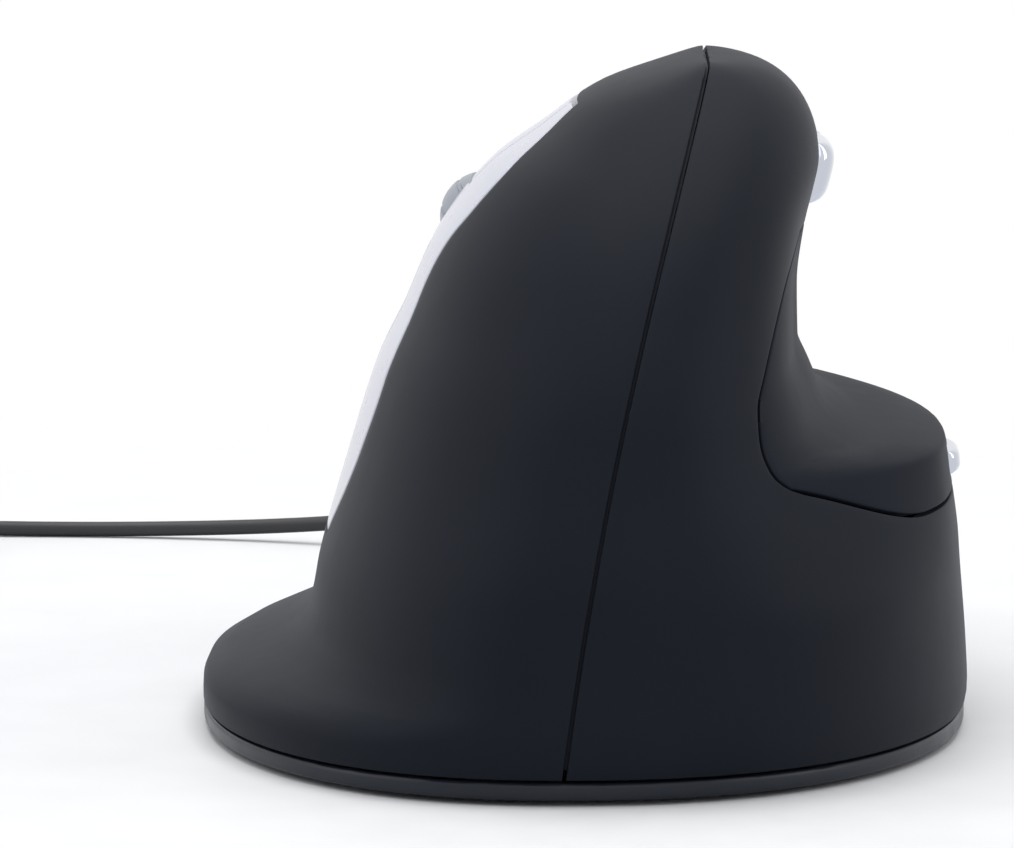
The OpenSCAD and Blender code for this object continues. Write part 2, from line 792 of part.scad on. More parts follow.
// Push switch standing on a board that faces the thumb side; its plunger and button move along X
push_h = 2.2;
push_w = 4;
push_drop = 0.8;
plunger_r = 1;
module push_switch(board_x, y, z, tip_x) {
    low = z - push_drop - push_w / 2;
    block([board_x, y - push_w / 2, low], [board_x + push_h, y + push_w / 2, low + push_w]);
    translate([board_x + push_h, y, z]) rotate([0, 90, 0])
        cylinder(r = plunger_r, h = tip_x - board_x - push_h);
}

function push_point(a, z) = inset(thumb_side, a, z, cap_wall);
push_gap = push_travel + 2 * seat_gap;
back_turn = (bright_start + bright_mid) / 2;
forward_turn = (bright_mid + bright_end) / 2;
thumb_face = thumb_board_x + board_t;
thumb_board_rear = -5;
thumb_board_front = push_point(forward_turn, bright_mid_z).y + push_w / 2 + 1;
thumb_board_h = 6.4;

module thumb_board() {
    low = bright_mid_z - push_drop - thumb_board_h / 2;
    color("#1f5c3a") block([thumb_board_x, thumb_board_rear, low],
        [thumb_face, thumb_board_front, low + thumb_board_h]);
}

module thumb_switches() {
    color("#202124") for (a = [back_turn, forward_turn]) {
        p = push_point(a, bright_mid_z);
        push_switch(thumb_face, p.y, bright_mid_z, p.x - push_gap);
    }
}

speed_push_z = speed_z + 1.3;
speed_turn = (speed_start + speed_end) / 2;
speed_point = push_point(speed_turn, speed_push_z);
plunger_h = 2.4;
speed_face = speed_point.x - push_gap - push_h - plunger_h;
speed_board_w = 14;

module speed_board() {
    rear = speed_point.y - speed_board_w / 2;
    color("#1f5c3a") block([speed_face - board_t, rear, base_top],
        [speed_face, rear + speed_board_w, speed_push_z - push_drop + push_w / 2]);
}

module speed_switch() {
    color("#202124") push_switch(speed_face, speed_point.y, speed_push_z, speed_point.x - push_gap);
}

// Base plate, feet and what stands on it
board_z = base_top + post_h;
board_top = board_z + board_t;
board_x = 21;
board_space = 2;
board_rear = rear_foot_y + foot_l / 2 + board_space;
board_front = front_foot_y - foot_l / 2 - board_space;
sensor_y = 5;
sensor_r = 4;
sensor_w = 10;
sensor_l = 8;
sensor_h = 2.5;
lens_w = 16;
lens_l = 10;
chip_w = 10;
chip_y = -22;
chip_h = 1;
head_h = 1;
head_r = screw_d - 0.2;
free_fit = 0.1;
post_inset = 4;
board_post_ys = [board_rear + post_inset, board_front - post_inset];
board_posts = [for (s = [-1, 1]) for (y = board_post_ys) [seam_foot + s * (board_x - post_inset), y]];

function base_edge(side, a) = let (p = body_point(side, a, base_top)) [p.x, p.y];
base_outline = concat(
    [for (a = [-90:6:90]) base_edge(thumb_side, a)],
    [for (a = [90:-6:-90]) base_edge(finger_side, a)]
);

module base_plate() {
    color("#33353d") difference() {
        union() {
            translate([0, 0, foot_t]) linear_extrude(base_t) polygon(base_outline);
            for (p = board_posts) translate([p.x, p.y, foot_t]) cylinder(r = screw_d, h = base_t + post_h);
        }
        translate([seam_foot, sensor_y, 0]) cylinder(r = sensor_r, h = base_top + 1);
        for (p = board_posts) translate([p.x, p.y, base_top])
            cylinder(r = screw_d / 2 + thread_fit, h = post_h + 1);
        for (p = frame_screws) translate([p.x, p.y, 0]) {
            cylinder(r = screw_d / 2 + free_fit, h = base_top + 1);
            cylinder(r = screw_d, h = foot_t + head_h);
        }
    }
}

pad_l = 22;
pad_w = 5;
pad_inset = 8;
module foot_pad() {
    linear_extrude(foot_t) hull() for (s = [-1, 1]) translate([s * (pad_l - pad_w) / 2, 0]) circle(d = pad_w);
}

module glide_feet() {
    color("#3a3c42") for (s = [-1, 1]) {
        translate([0, s * (body_l / 2 - pad_inset), 0]) foot_pad();
        translate([s * (thumb_reach - pad_inset), 0, 0]) rotate(90) foot_pad();
    }
}

module screw(l, down) {
    cylinder(r = head_r, h = head_h);
    translate([0, 0, down ? -l : head_h]) cylinder(r = screw_d / 2, h = l);
}

module case_screws() {
    color("silver") for (p = frame_screws) translate([p.x, p.y, foot_t])
        screw(base_t - head_h + foot_h, false);
}

module board_screws() {
    color("silver") for (p = board_posts) translate([p.x, p.y, board_top])
        screw(board_t + post_h - seat_gap, true);
}

module main_board() {
    color("#1f5c3a") difference() {
        block([seam_foot - board_x, board_rear, board_z], [seam_foot + board_x, board_front, board_top]);
        for (p = board_posts) translate([p.x, p.y, board_z - 1])
            cylinder(r = screw_d / 2 + free_fit, h = board_t + 2);
        translate([seam_foot, sensor_y, board_z - 1]) cylinder(r = sensor_r - 1, h = board_t + 2);
    }
}

module optical_sensor() {
    color("#202124") block([seam_foot - sensor_w / 2, sensor_y - sensor_l / 2, board_top],
        [seam_foot + sensor_w / 2, sensor_y + sensor_l / 2, board_top + sensor_h]);
}

module sensor_lens() {
    color("#dfe6ea") block([seam_foot - lens_w / 2, sensor_y - lens_l / 2, base_top],
        [seam_foot + lens_w / 2, sensor_y + lens_l / 2, board_z]);
}

module controller_chip() {
    color("#202124") block([seam_foot - chip_w / 2, chip_y, board_top],
        [seam_foot + chip_w / 2, chip_y + chip_w, board_top + chip_h]);
}

// Cord's way in: connector on the board, wires, anchor, tail and strain relief
exit_x = lean(cord_z);
wire_z = board_top + 2;
anchor_rear = front_foot_y + foot_l / 2 + board_space;
anchor_front = anchor_rear + 8;
anchor_half = 4;
anchor_top = cord_z + 2.4;
relief_rear = body_l / 2 - wall - 2;
collar_y = body_l / 2 + 0.3;
collar_t = 1.4;
relief_l = 12;
relief_front = collar_y + collar_t + relief_l;
relief_play = 0.6;
collar_r = 5;
taper_r = 2.6;
taper_end_r = 1.4;
connector_x = exit_x + 7;
connector_half = 5;
connector_l = 5;
connector_h = 4;
wire_r = 0.5;
wire_step = 2;
cord_r = cord_d / 2;

module board_connector() {
    color("#e9e6da") block([connector_x - connector_half, board_front - connector_l, board_top],
        [connector_x + connector_half, board_front, board_top + connector_h]);
}

module cord_anchor() {
    color("#50525a") block([exit_x - anchor_half, anchor_rear, base_top],
        [connector_x + connector_half, anchor_front, anchor_top]);
}

module along_rod(x, z, y0, y1, r0, r1) {
    translate([x, y0, z]) rotate([-90, 0, 0]) cylinder(r1 = r0, r2 = r1, h = y1 - y0);
}

module lead_wires() {
    color("#a33b32") for (i = [-1.5:1:1.5])
        along_rod(connector_x + wire_step * i, wire_z, board_front, anchor_rear, wire_r, wire_r);
}

module cord_tail() {
    color("#1b1c20") along_rod(exit_x, cord_z, anchor_front, relief_rear, cord_r, cord_r);
}

module strain_relief() {
    half_w = relief_w / 2 - relief_play;
    half_h = relief_h / 2 - relief_play;
    color("#1b1c20") union() {
        block([exit_x - half_w, relief_rear, cord_z - half_h], [exit_x + half_w, collar_y, cord_z + half_h]);
        along_rod(exit_x, cord_z, collar_y, collar_y + collar_t, collar_r, collar_r);
        along_rod(exit_x, cord_z, collar_y + collar_t, relief_front, taper_r, taper_end_r);
    }
}

// Free cord: hand-chosen route, then a coil beside the body
coil_x = -101;
coil_y = 110;
layer_turns = 4.5;
climb_turns = 0.5;
coil_turns = 19.25;
loop_rings = 24;
coil_outer_r = coil_inner_r + layer_turns * coil_step;
coil_low = tie_t + seat_gap + cord_r;
cord_route = [
    [exit_x, relief_front, cord_z],
    [exit_x, relief_front + 5, cord_z - 0.1],
    [exit_x - 0.6, relief_front + 12, cord_z - 0.9],
    [-4, 97, 8.8],
    [-11, 107, 6.2],
    [-22, 115.5, 3.8],
    [-36, 121.5, 2],
    [-52, 125, 1.1],
    [-68, 126.2, 0.95],
    [-84, coil_y + coil_outer_r, 1.3],
    [-94, coil_y + coil_outer_r, coil_low],
    [coil_x + cord_d, coil_y + coil_outer_r, coil_low]
];

function blend(a, b, c, d, u) =
    0.5 * (2 * b + (c - a) * u + (2 * a - 5 * b + 4 * c - d) * u * u + (3 * b - a - 3 * c + d) * u * u * u);
function smooth_route(p, n) = let (last = len(p) - 1) [
    for (i = [0:last - 1]) for (k = [0:n - 1])
        blend(p[max(i - 1, 0)], p[i], p[i + 1], p[min(i + 2, last)], k / n),
    p[last]
];

// Round tube along points, none of them straight above another
module tube(points, r, sides) {
    last = len(points) - 1;
    rings = [for (i = [0:last]) let (
        ahead = unit(points[min(i + 1, last)] - points[max(i - 1, 0)]),
        across = unit(cross(ahead, [0, 0, 1])),
        up = cross(across, ahead)
    ) each [for (k = [0:sides - 1]) let (turn = 360 * k / sides)
        points[i] + r * (cos(turn) * across + sin(turn) * up)]];
    walls = [for (i = [0:last - 1]) for (k = [0:sides - 1]) let (
        a = i * sides + k,
        b = i * sides + (k + 1) % sides
    ) each [[a, b, b + sides], [a, b + sides, a + sides]]];
    start_cap = [for (k = [1:sides - 2]) [0, k + 1, k]];
    end_cap = [for (k = [1:sides - 2]) [last * sides, last * sides + k, last * sides + k + 1]];
    polyhedron(rings, concat(walls, start_cap, end_cap));
}

module mouse_cord() {
    color("#1b1c20") tube(smooth_route(cord_route, 4), cord_r, 8);
}

// Coil: spirals in and out, layer on layer, and climbs where the spiral turns round
layer_period = layer_turns + climb_turns;
function coil_layer(s) = floor(s / layer_period);
function coil_spiral(s) = coil_step * min(s - layer_period * coil_layer(s), layer_turns);
function coil_radius(s) =
    coil_layer(s) % 2 == 0 ? coil_outer_r - coil_spiral(s) : coil_inner_r + coil_spiral(s);
function coil_climb(s) = smooth((s - layer_period * coil_layer(s) - layer_turns) / climb_turns);
function coil_height(s) = coil_low + coil_step * (coil_layer(s) + coil_climb(s));
function coil_point(s) =
    let (turn = 90 + 360 * s, r = coil_radius(s))
    [coil_x + r * cos(turn), coil_y + r * sin(turn), coil_height(s)];
coil_end = coil_point(coil_turns);
coil_points = concat(
    [[coil_x + cord_d, coil_y + coil_outer_r, coil_low]],
    [for (i = [0:coil_turns * loop_rings]) coil_point(i / loop_rings)],
    [coil_end - [0, cord_d, 0]]
);

function least_gap(p, skip) = min([for (i = [0:len(p) - 1 - skip]) min(
    [for (j = [i + skip:len(p) - 1]) norm(p[i] - p[j])]
)]) - cord_d;

module cord_coil() {
    echo(least_coil_gap = least_gap(coil_points, loop_rings / 2));
    color("#1b1c20") tube(coil_points, cord_r, 6);
}

tie_w = 4;
module cord_tie() {
    low_x = coil_x + coil_inner_r - cord_r - 3 * seat_gap;
    high_x = coil_x + coil_outer_r + cord_r + seat_gap;
    high_z = coil_low + 3 * coil_step + cord_r + seat_gap;
    color("#141518") difference() {
        block([low_x - tie_t, coil_y - tie_w / 2, 0], [high_x + tie_t, coil_y + tie_w / 2, high_z + tie_t]);
        block([low_x, coil_y - tie_w, tie_t], [high_x, coil_y + tie_w, high_z]);
    }
}

// Plug beside the coil
grip_w = 12;
grip_l = 24;
grip_t = 7.6;
plug_w = 12;
plug_t = 4.5;
plug_l = 15;
plug_wall = 0.4;
plug_z = grip_t / 2;
tongue_t = 1.8;
grip_round = 2;
lead_drop = 24;
grip_y = coil_end.y - lead_drop;
plug_y = grip_y - grip_l;
lead_route = [
    coil_end - [0, cord_d, 0],
    coil_end - [0, 2 * cord_d, 0],
    coil_end - [0, 6, 0.5],
    [coil_end.x, coil_end.y - 11, 6.6],
    [coil_end.x, coil_end.y - 17, 4.6],
    [coil_end.x, grip_y + 2 * cord_d, plug_z],
    [coil_end.x, grip_y + cord_d, plug_z],
    [coil_end.x, grip_y, plug_z]
];

module plug_lead() {
    color("#1b1c20") tube(smooth_route(lead_route, 3), cord_r, 8);
}

module plug_grip() {
    color("#1b1c20") translate([coil_end.x, plug_y, plug_z]) rotate([-90, 0, 0]) linear_extrude(grip_l)
        hull() for (x = [-1, 1]) for (z = [-1, 1])
            translate([x * (grip_w / 2 - grip_round), z * (plug_z - grip_round)]) circle(r = grip_round);
}

module plug_shell() {
    half_w = plug_w / 2 - plug_wall;
    color("silver") difference() {
        block([coil_end.x - plug_w / 2, plug_y - plug_l, plug_z - plug_t / 2],
            [coil_end.x + plug_w / 2, plug_y, plug_z + plug_t / 2]);
        block([coil_end.x - half_w, plug_y - plug_l - 1, plug_z - plug_t / 2 + plug_wall],
            [coil_end.x + half_w, plug_y - 1, plug_z + plug_t / 2 - plug_wall]);
    }
}

module plug_tongue() {
    half_w = plug_w / 2 - plug_wall;
    tongue_low = plug_z - plug_t / 2 + plug_wall;
    color("white") block([coil_end.x - half_w, plug_y - plug_l + 1, tongue_low],
        [coil_end.x + half_w, plug_y - 1, tongue_low + tongue_t]);
}

base_plate();
glide_feet();
palm_shell();
thumb_shell();
thumb_rest();
finger_panel();
wheel_trim();
index_cap();
index_lever();
middle_cap();
middle_lever();
hinge_pins();
click_switches();
inner_frame();
wheel_hub();
wheel_tyre();
wheel_axle();
wheel_carrier();
scroll_encoder();
wheel_switch();
forward_button();
back_button();
thumb_board();
thumb_switches();
speed_button();
speed_board();
speed_switch();
main_board();
controller_chip();
optical_sensor();
sensor_lens();
board_connector();
board_screws();
case_screws();
cord_anchor();
lead_wires();
cord_tail();
strain_relief();
mouse_cord();
cord_coil();
cord_tie();
plug_lead();
plug_grip();
plug_shell();
plug_tongue();
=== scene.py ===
# Vertical ergonomic mouse for the left hand: the looks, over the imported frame
import math

import bmesh
import bpy
from mathutils import Matrix, Vector


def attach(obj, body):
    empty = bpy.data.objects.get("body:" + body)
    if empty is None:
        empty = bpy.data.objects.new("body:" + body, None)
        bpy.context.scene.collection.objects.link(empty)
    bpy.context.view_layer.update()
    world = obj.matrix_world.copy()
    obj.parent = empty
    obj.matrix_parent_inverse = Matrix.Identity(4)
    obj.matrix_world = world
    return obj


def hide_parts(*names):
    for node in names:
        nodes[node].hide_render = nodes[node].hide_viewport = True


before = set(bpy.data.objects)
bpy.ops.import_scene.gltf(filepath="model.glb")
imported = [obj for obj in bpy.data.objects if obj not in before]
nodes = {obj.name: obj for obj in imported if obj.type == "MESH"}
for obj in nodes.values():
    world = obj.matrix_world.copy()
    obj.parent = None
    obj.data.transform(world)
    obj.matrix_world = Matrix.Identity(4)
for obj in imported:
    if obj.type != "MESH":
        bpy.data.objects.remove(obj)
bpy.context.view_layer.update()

# Sizes of the body, in millimetres, the same as in the part's source
MM = 0.001
BODY_L = 116
BODY_H = 71.5
FLANGE_REACH = 41
THUMB_REACH = 41
FINGER_REACH = 29
FLANGE_H = 10
SHELF_H = 32
NOTCH_REACH = 22.6
BROW_REACH = 25.5
SEAM_FOOT = -3
RIDGE_X = 12.8
RIDGE_HALF = 8
WALL = 2
CAP_WALL = 1.6
SEAM_GAP = 0.4
PRESS_GAP = 0.6
PANEL_Z = 20.5
REST_DROP = 6.6
FOOT_T = 0.6
BASE_T = 1.8
BASE_GAP = 0.3
INDEX_DROP = 4.9
INDEX_H = 9.4
TRIM_H = 6.2
MIDDLE_H = 11.2
CORD_D = 1.8
CORD_Z = 11.6
FINGER_SIDE = -1
THUMB_SIDE = 1
SQUARENESS = 2.2

RISE = BODY_H - FLANGE_H
REST_Z = SHELF_H - REST_DROP
INDEX_TOP_Z = BODY_H - INDEX_DROP
INDEX_Z = INDEX_TOP_Z - INDEX_H
TRIM_Z = INDEX_Z - TRIM_H
MIDDLE_Z = TRIM_Z - MIDDLE_H
BROW_H = BODY_H - 13.5
NOTCH_TOP_Z = (SHELF_H + 10 + BROW_H - 4.5) / 2
FINGER_CAP_Z = BODY_H - 30.5
THUMB_CAP_Z = BODY_H - 14.5
THUMB_CAP_POWER = 2.5
END_CAP_Z = BODY_H - 34.5
BASE_TOP = FOOT_T + BASE_T
SHELL_FOOT = BASE_TOP + BASE_GAP
SCOOP_START = -60
SCOOP_TURN = 45
CLIMB_H = 5.5
CLIMB_START = 24
CLIMB_TURN = 34
CLIMB_LOW = 8
CLIMB_HIGH = 46
CLIMB_FADE = 16
FALL_H = 3
FALL_START = 5
FALL_TURN = 45
FALL_END = 80
FALL_FADE = 16

FINGER_PROFILE = [
    (0, FLANGE_REACH - 1),
    (3, FLANGE_REACH + 0.2),
    (FLANGE_H - 4.5, FLANGE_REACH + 0.1),
    (FLANGE_H - 2.6, FLANGE_REACH - 2.8),
    (FLANGE_H - 0.8, FLANGE_REACH - 7.9),
    (FLANGE_H + 0.6, FINGER_REACH + 2),
    (FLANGE_H + 2.5, FINGER_REACH + 0.7),
    (FLANGE_H + 7.5, FINGER_REACH - 0.3),
    (FLANGE_H + RISE * 0.3, FINGER_REACH - 3.4),
    (FLANGE_H + RISE * 0.46, FINGER_REACH - 6.5),
    (FLANGE_H + RISE * 0.57, FINGER_REACH - 9.5),
    (FLANGE_H + RISE * 0.7, FINGER_REACH - 11.4),
    (FLANGE_H + RISE * 0.81, FINGER_REACH - 13.6),
    (FLANGE_H + RISE * 0.88, FINGER_REACH - 16.8),
    (FLANGE_H + RISE * 0.94, FINGER_REACH - 18.2),
    (BODY_H, FINGER_REACH - 29),
]
SCOOP_PROFILE = [
    (0, THUMB_REACH - 1),
    (4.5, THUMB_REACH),
    (9, THUMB_REACH - 0.2),
    (18, THUMB_REACH - 0.9),
    (SHELF_H - 11, THUMB_REACH - 1.1),
    (SHELF_H - 4.5, THUMB_REACH - 2),
    (SHELF_H - 1.2, THUMB_REACH - 2.5),
    (SHELF_H + 0.2, THUMB_REACH - 6.8),
    (SHELF_H + 0.8, NOTCH_REACH + 6.8),
    (SHELF_H + 3, NOTCH_REACH + 3),
    (SHELF_H + 6, NOTCH_REACH + 1.5),
    (SHELF_H + 10, NOTCH_REACH),
    (NOTCH_TOP_Z, NOTCH_REACH - 0.1),
    (BROW_H - 4.5, BROW_REACH - 2.3),
    (BROW_H, BROW_REACH - 1.2),
    (BROW_H + 3, BROW_REACH - 0.4),
    (BODY_H, BROW_REACH + 0.7),
]
HEEL_PROFILE = [
    (0, THUMB_REACH - 1),
    (4.5, THUMB_REACH),
    (9, THUMB_REACH - 0.2),
    (18, THUMB_REACH - 1),
    (SHELF_H - 11, THUMB_REACH - 3.4),
    (SHELF_H - 3, THUMB_REACH - 9),
    (SHELF_H + 4, NOTCH_REACH + 4.9),
    (SHELF_H + 10, NOTCH_REACH + 3.4),
    (BROW_H - 4.5, BROW_REACH - 0.1),
    (BROW_H + 3, BROW_REACH),
    (BODY_H, BROW_REACH + 0.1),
]
REAR_PROFILE = [
    (0, BODY_L / 2 - 2),
    (8, BODY_L / 2),
    (20, BODY_L / 2 - 0.6),
    (BODY_H - 39.5, BODY_L / 2 - 4.5),
    (BODY_H - 24.5, BODY_L / 2 - 10.8),
    (BODY_H - 14.5, BODY_L / 2 - 14.5),
    (BODY_H - 6.5, BODY_L / 2 - 19.5),
    (BODY_H, BODY_L / 2 - 26),
]
FRONT_PROFILE = [
    (0, BODY_L / 2 - 1.5),
    (8, BODY_L / 2),
    (22, BODY_L / 2 - 0.5),
    (BODY_H - 36.5, BODY_L / 2 - 4),
    (BODY_H - 22.5, BODY_L / 2 - 9.5),
    (BODY_H - 12.5, BODY_L / 2 - 13.6),
    (BODY_H - 6.5, BODY_L / 2 - 17.4),
    (BODY_H, BODY_L / 2 - 26),
]
PANEL_BORDER = [
    (PANEL_Z, -5),
    (PANEL_Z + 6, -12.5),
    (PANEL_Z + 11, -16),
    (PANEL_Z + 16, -17.5),
    (MIDDLE_Z, -16.5),
    (MIDDLE_Z + 4.5, -15),
    (TRIM_Z - 4, -15),
    (TRIM_Z + 2, -17),
    (INDEX_Z - 0.7, -20.5),
    (INDEX_Z + 2.3, -21.5),
    (INDEX_Z + 5.2, -17),
    (INDEX_TOP_Z, -8),
]
REST_TOP_Z = BROW_H - 3.6
REST_RISE = REST_TOP_Z - REST_Z
REST_BORDER = [
    (REST_Z, -50),
    (REST_Z + REST_RISE * 0.009, -52.4),
    (REST_Z + REST_RISE * 0.026, -53.9),
    (REST_Z + REST_RISE * 0.05, -55),
    (REST_Z + REST_RISE * 0.15, -56),
    (REST_Z + REST_RISE * 0.32, -55.5),
    (REST_Z + REST_RISE * 0.5, -53),
    (REST_Z + REST_RISE * 0.65, -50),
    (REST_Z + REST_RISE * 0.84, -41),
    (REST_TOP_Z, -24),
]
PANEL_END = 54
REST_END = 60
EDGE_TURN = 0.7
BRIGHT_Z = BROW_H - 2.7
BRIGHT_TOP_Z = BROW_H + 4.8
BRIGHT_START = -6
BRIGHT_END = 34
BRIGHT_BULGE = 1.8
SPEED_Z = REST_Z + 1
SPEED_TOP_Z = REST_Z + 4.6
SPEED_START = -6
SPEED_END = 4
SPEED_BULGE = 1.2
RELIEF_W = 6.2
RELIEF_H = 5.6
RELIEF_LOW = CORD_Z - RELIEF_H / 2 - SEAM_GAP
RELIEF_HIGH = CORD_Z + RELIEF_H / 2 + SEAM_GAP
RELIEF_TURN = 80


# The body's surface: level sections of two half ovals that meet on a leaning, slightly bowed face
def clamp(x, low, high):
    return min(max(x, low), high)


def mix(a, b, u):
    return a + (b - a) * u


def smooth(u):
    k = clamp(u, 0, 1)
    return k * k * (3 - 2 * k)


def span(a, b, n):
    return [mix(a, b, i / n) for i in range(n)]


def rate(points, i):
    return (points[i + 1][1] - points[i][1]) / (points[i + 1][0] - points[i][0])


def slope_at(points, i):
    if i == 0:
        return rate(points, 0)
    if i == len(points) - 1:
        return rate(points, i - 1)
    a = rate(points, i - 1)
    b = rate(points, i)
    return 0 if a * b <= 0 else 2 * a * b / (a + b)


def curve(points, x):
    i = clamp(sum(1 for p in points if p[0] <= x) - 1, 0, len(points) - 2)
    h = points[i + 1][0] - points[i][0]
    u = clamp((x - points[i][0]) / h, 0, 1)
    swing = (1 - u) * slope_at(points, i) - u * slope_at(points, i + 1)
    return mix(points[i][1], points[i + 1][1], u * u * (3 - 2 * u)) + h * u * (1 - u) * swing


def lean(z):
    t = z / BODY_H
    return SEAM_FOOT + (RIDGE_X - SEAM_FOOT) * t * (1 + t) / 2


def dome(z, start, power=2):
    return (1 - clamp((z - start) / (BODY_H - start), 0, 1) ** power) ** (1 / power)


def half_width(side, a, z):
    if side < 0:
        return (curve(FINGER_PROFILE, z) + lean(z)) * dome(z, FINGER_CAP_Z)
    scoop = smooth((a - SCOOP_START) / SCOOP_TURN)
    reach = mix(curve(HEEL_PROFILE, z), curve(SCOOP_PROFILE, z), scoop)
    return (reach - lean(z)) * dome(z, THUMB_CAP_Z, THUMB_CAP_POWER)


def end_reach(profile, z):
    return RIDGE_HALF + (curve(profile, z) - RIDGE_HALF) * dome(z, END_CAP_Z)


def body_point(side, a, z):
    half = max(half_width(side, a, z) - SEAM_GAP / 2, 0)
    turn = math.radians(a)
    across = abs(math.cos(turn)) ** (2 / SQUARENESS)
    along = math.copysign(abs(math.sin(turn)) ** (2 / SQUARENESS), a)
    reach = end_reach(REAR_PROFILE if a < 0 else FRONT_PROFILE, z)
    return Vector((lean(z) + side * (SEAM_GAP / 2 + half * across), along * reach, z))


LAST_TURN = 87
TOP_MARGIN = 0.2
TURN_STEP = 1
HEIGHT_STEP = 0.1


def body_normal(side, a, z):
    b = clamp(a, -LAST_TURN, LAST_TURN)
    h = min(z, BODY_H - TOP_MARGIN)
    round_step = body_point(side, b + TURN_STEP, h) - body_point(side, b - TURN_STEP, h)
    up_step = body_point(side, b, h + HEIGHT_STEP) - body_point(side, b, h - HEIGHT_STEP)
    return side * round_step.cross(up_step).normalized()


def inset(side, a, z, depth):
    q = body_point(side, a, z) - depth * body_normal(side, a, z)
    h = max(q.z, SHELL_FOOT)
    off = max(side * (q.x - lean(h)), SEAM_GAP / 2)
    return Vector((lean(h) + side * off, q.y, h))


def climb(a, z):
    fade = smooth((z - CLIMB_LOW) / CLIMB_FADE) * smooth((CLIMB_HIGH - z) / CLIMB_FADE)
    rear_rise = CLIMB_H * smooth((-a - CLIMB_START) / CLIMB_TURN)
    front_fall = FALL_H * smooth((a - FALL_START) / FALL_TURN) * smooth((FALL_END - a) / FALL_FADE)
    return z + (rear_rise - front_fall) * fade


def relief_angle(side, z):
    share = (RELIEF_W / 2 + SEAM_GAP) / half_width(side, RELIEF_TURN, min(z, RELIEF_HIGH))
    return math.degrees(math.acos(share ** (SQUARENESS / 2)))


def closing_heights(start, n):
    return [BODY_H - (BODY_H - start) * (1 - i / n) ** 2 for i in range(n + 1)]


# Camera at the photograph's view of the heel
IMAGE_W = 1014
VIEW_TARGET = Vector((-8.5, 0, 31.5)) * MM
VIEW_DISTANCE = 1000 * MM
VIEW_ELEVATION = 8
VIEW_SCALE = 9.3
CAMERA_SENSOR = 36

camera_data = bpy.data.cameras.new("heel_camera")
camera_data.sensor_width = CAMERA_SENSOR
camera_data.lens = CAMERA_SENSOR * VIEW_SCALE * (VIEW_DISTANCE / MM) / IMAGE_W
camera = bpy.data.objects.new("heel_camera", camera_data)
tilt = math.radians(VIEW_ELEVATION)
camera_back = Vector((0, -math.cos(tilt), math.sin(tilt)))
camera.location = VIEW_TARGET + camera_back * VIEW_DISTANCE
camera.rotation_mode = "QUATERNION"
camera.rotation_quaternion = (-camera_back).to_track_quat("-Z", "Y")
bpy.context.scene.collection.objects.link(camera)
bpy.context.scene.camera = camera


# Materials
NOISE_LOW = 0.3
NOISE_HIGH = 0.7
CLOUD_SCALE = 60
CLOUD_DETAIL = 4
ROUGH_SCALE = 240
ROUGH_DETAIL = 3
GRAIN_DETAIL = 2
SHEEN_ROUGH = 0.2
SHEEN_TINT = (0.8, 0.85, 1, 1)
COAT_ROUGH = 0.08
METAL_GRAIN = 0.1
LENS_CLEAR = 0.85


def new_material(name):
    material = bpy.data.materials.new(name)
    material.use_nodes = True
    tree = material.node_tree
    shader = tree.nodes["Principled BSDF"]
    return material, tree, shader


def object_noise(tree, scale, detail):
    place = tree.nodes.new("ShaderNodeTexCoord")
    noise = tree.nodes.new("ShaderNodeTexNoise")
    noise.inputs["Scale"].default_value = scale
    noise.inputs["Detail"].default_value = detail
    tree.links.new(place.outputs["Object"], noise.inputs["Vector"])
    return noise


def ramp(tree, source, low, high):
    node = tree.nodes.new("ShaderNodeValToRGB")
    node.color_ramp.elements[0].position = NOISE_LOW
    node.color_ramp.elements[1].position = NOISE_HIGH
    node.color_ramp.elements[0].color = low
    node.color_ramp.elements[1].color = high
    tree.links.new(source, node.inputs["Fac"])
    return node


def span_of(tree, source, low, high):
    node = tree.nodes.new("ShaderNodeMapRange")
    node.inputs["From Min"].default_value = NOISE_LOW
    node.inputs["From Max"].default_value = NOISE_HIGH
    node.inputs["To Min"].default_value = low
    node.inputs["To Max"].default_value = high
    tree.links.new(source, node.inputs["Value"])
    return node


def bump(tree, shader, source, strength, depth):
    node = tree.nodes.new("ShaderNodeBump")
    node.inputs["Strength"].default_value = strength
    node.inputs["Distance"].default_value = depth
    tree.links.new(source, node.inputs["Height"])
    tree.links.new(node.outputs["Normal"], shader.inputs["Normal"])


def grey(level, tint=0.0):
    return (level, level * (1 + tint * 0.3), level * (1 + tint), 1)


def moulded(name, dark, light, rough, grain, grain_depth, strength=0.25, coat=0.0, specular=0.5, sheen=0.0):
    """Moulded plastic or rubber: cloudy colour, uneven roughness and a fine grain."""
    material, tree, shader = new_material(name)
    cloud = object_noise(tree, CLOUD_SCALE, CLOUD_DETAIL)
    colour = ramp(tree, cloud.outputs["Fac"], dark, light)
    tree.links.new(colour.outputs["Color"], shader.inputs["Base Color"])
    patches = object_noise(tree, ROUGH_SCALE, ROUGH_DETAIL)
    roughness = span_of(tree, patches.outputs["Fac"], rough[0], rough[1])
    tree.links.new(roughness.outputs["Result"], shader.inputs["Roughness"])
    fine = object_noise(tree, grain, GRAIN_DETAIL)
    bump(tree, shader, fine.outputs["Fac"], strength, grain_depth)
    shader.inputs["Specular IOR Level"].default_value = specular
    shader.inputs["Sheen Weight"].default_value = sheen
    shader.inputs["Sheen Roughness"].default_value = SHEEN_ROUGH
    shader.inputs["Sheen Tint"].default_value = SHEEN_TINT
    shader.inputs["Coat Weight"].default_value = coat
    shader.inputs["Coat Roughness"].default_value = COAT_ROUGH
    return material


def metal(name, dark, light, rough, grain, grain_depth):
    material = moulded(name, dark, light, rough, grain, grain_depth, METAL_GRAIN)
    shader = material.node_tree.nodes["Principled BSDF"]
    shader.inputs["Metallic"].default_value = 1
    return material


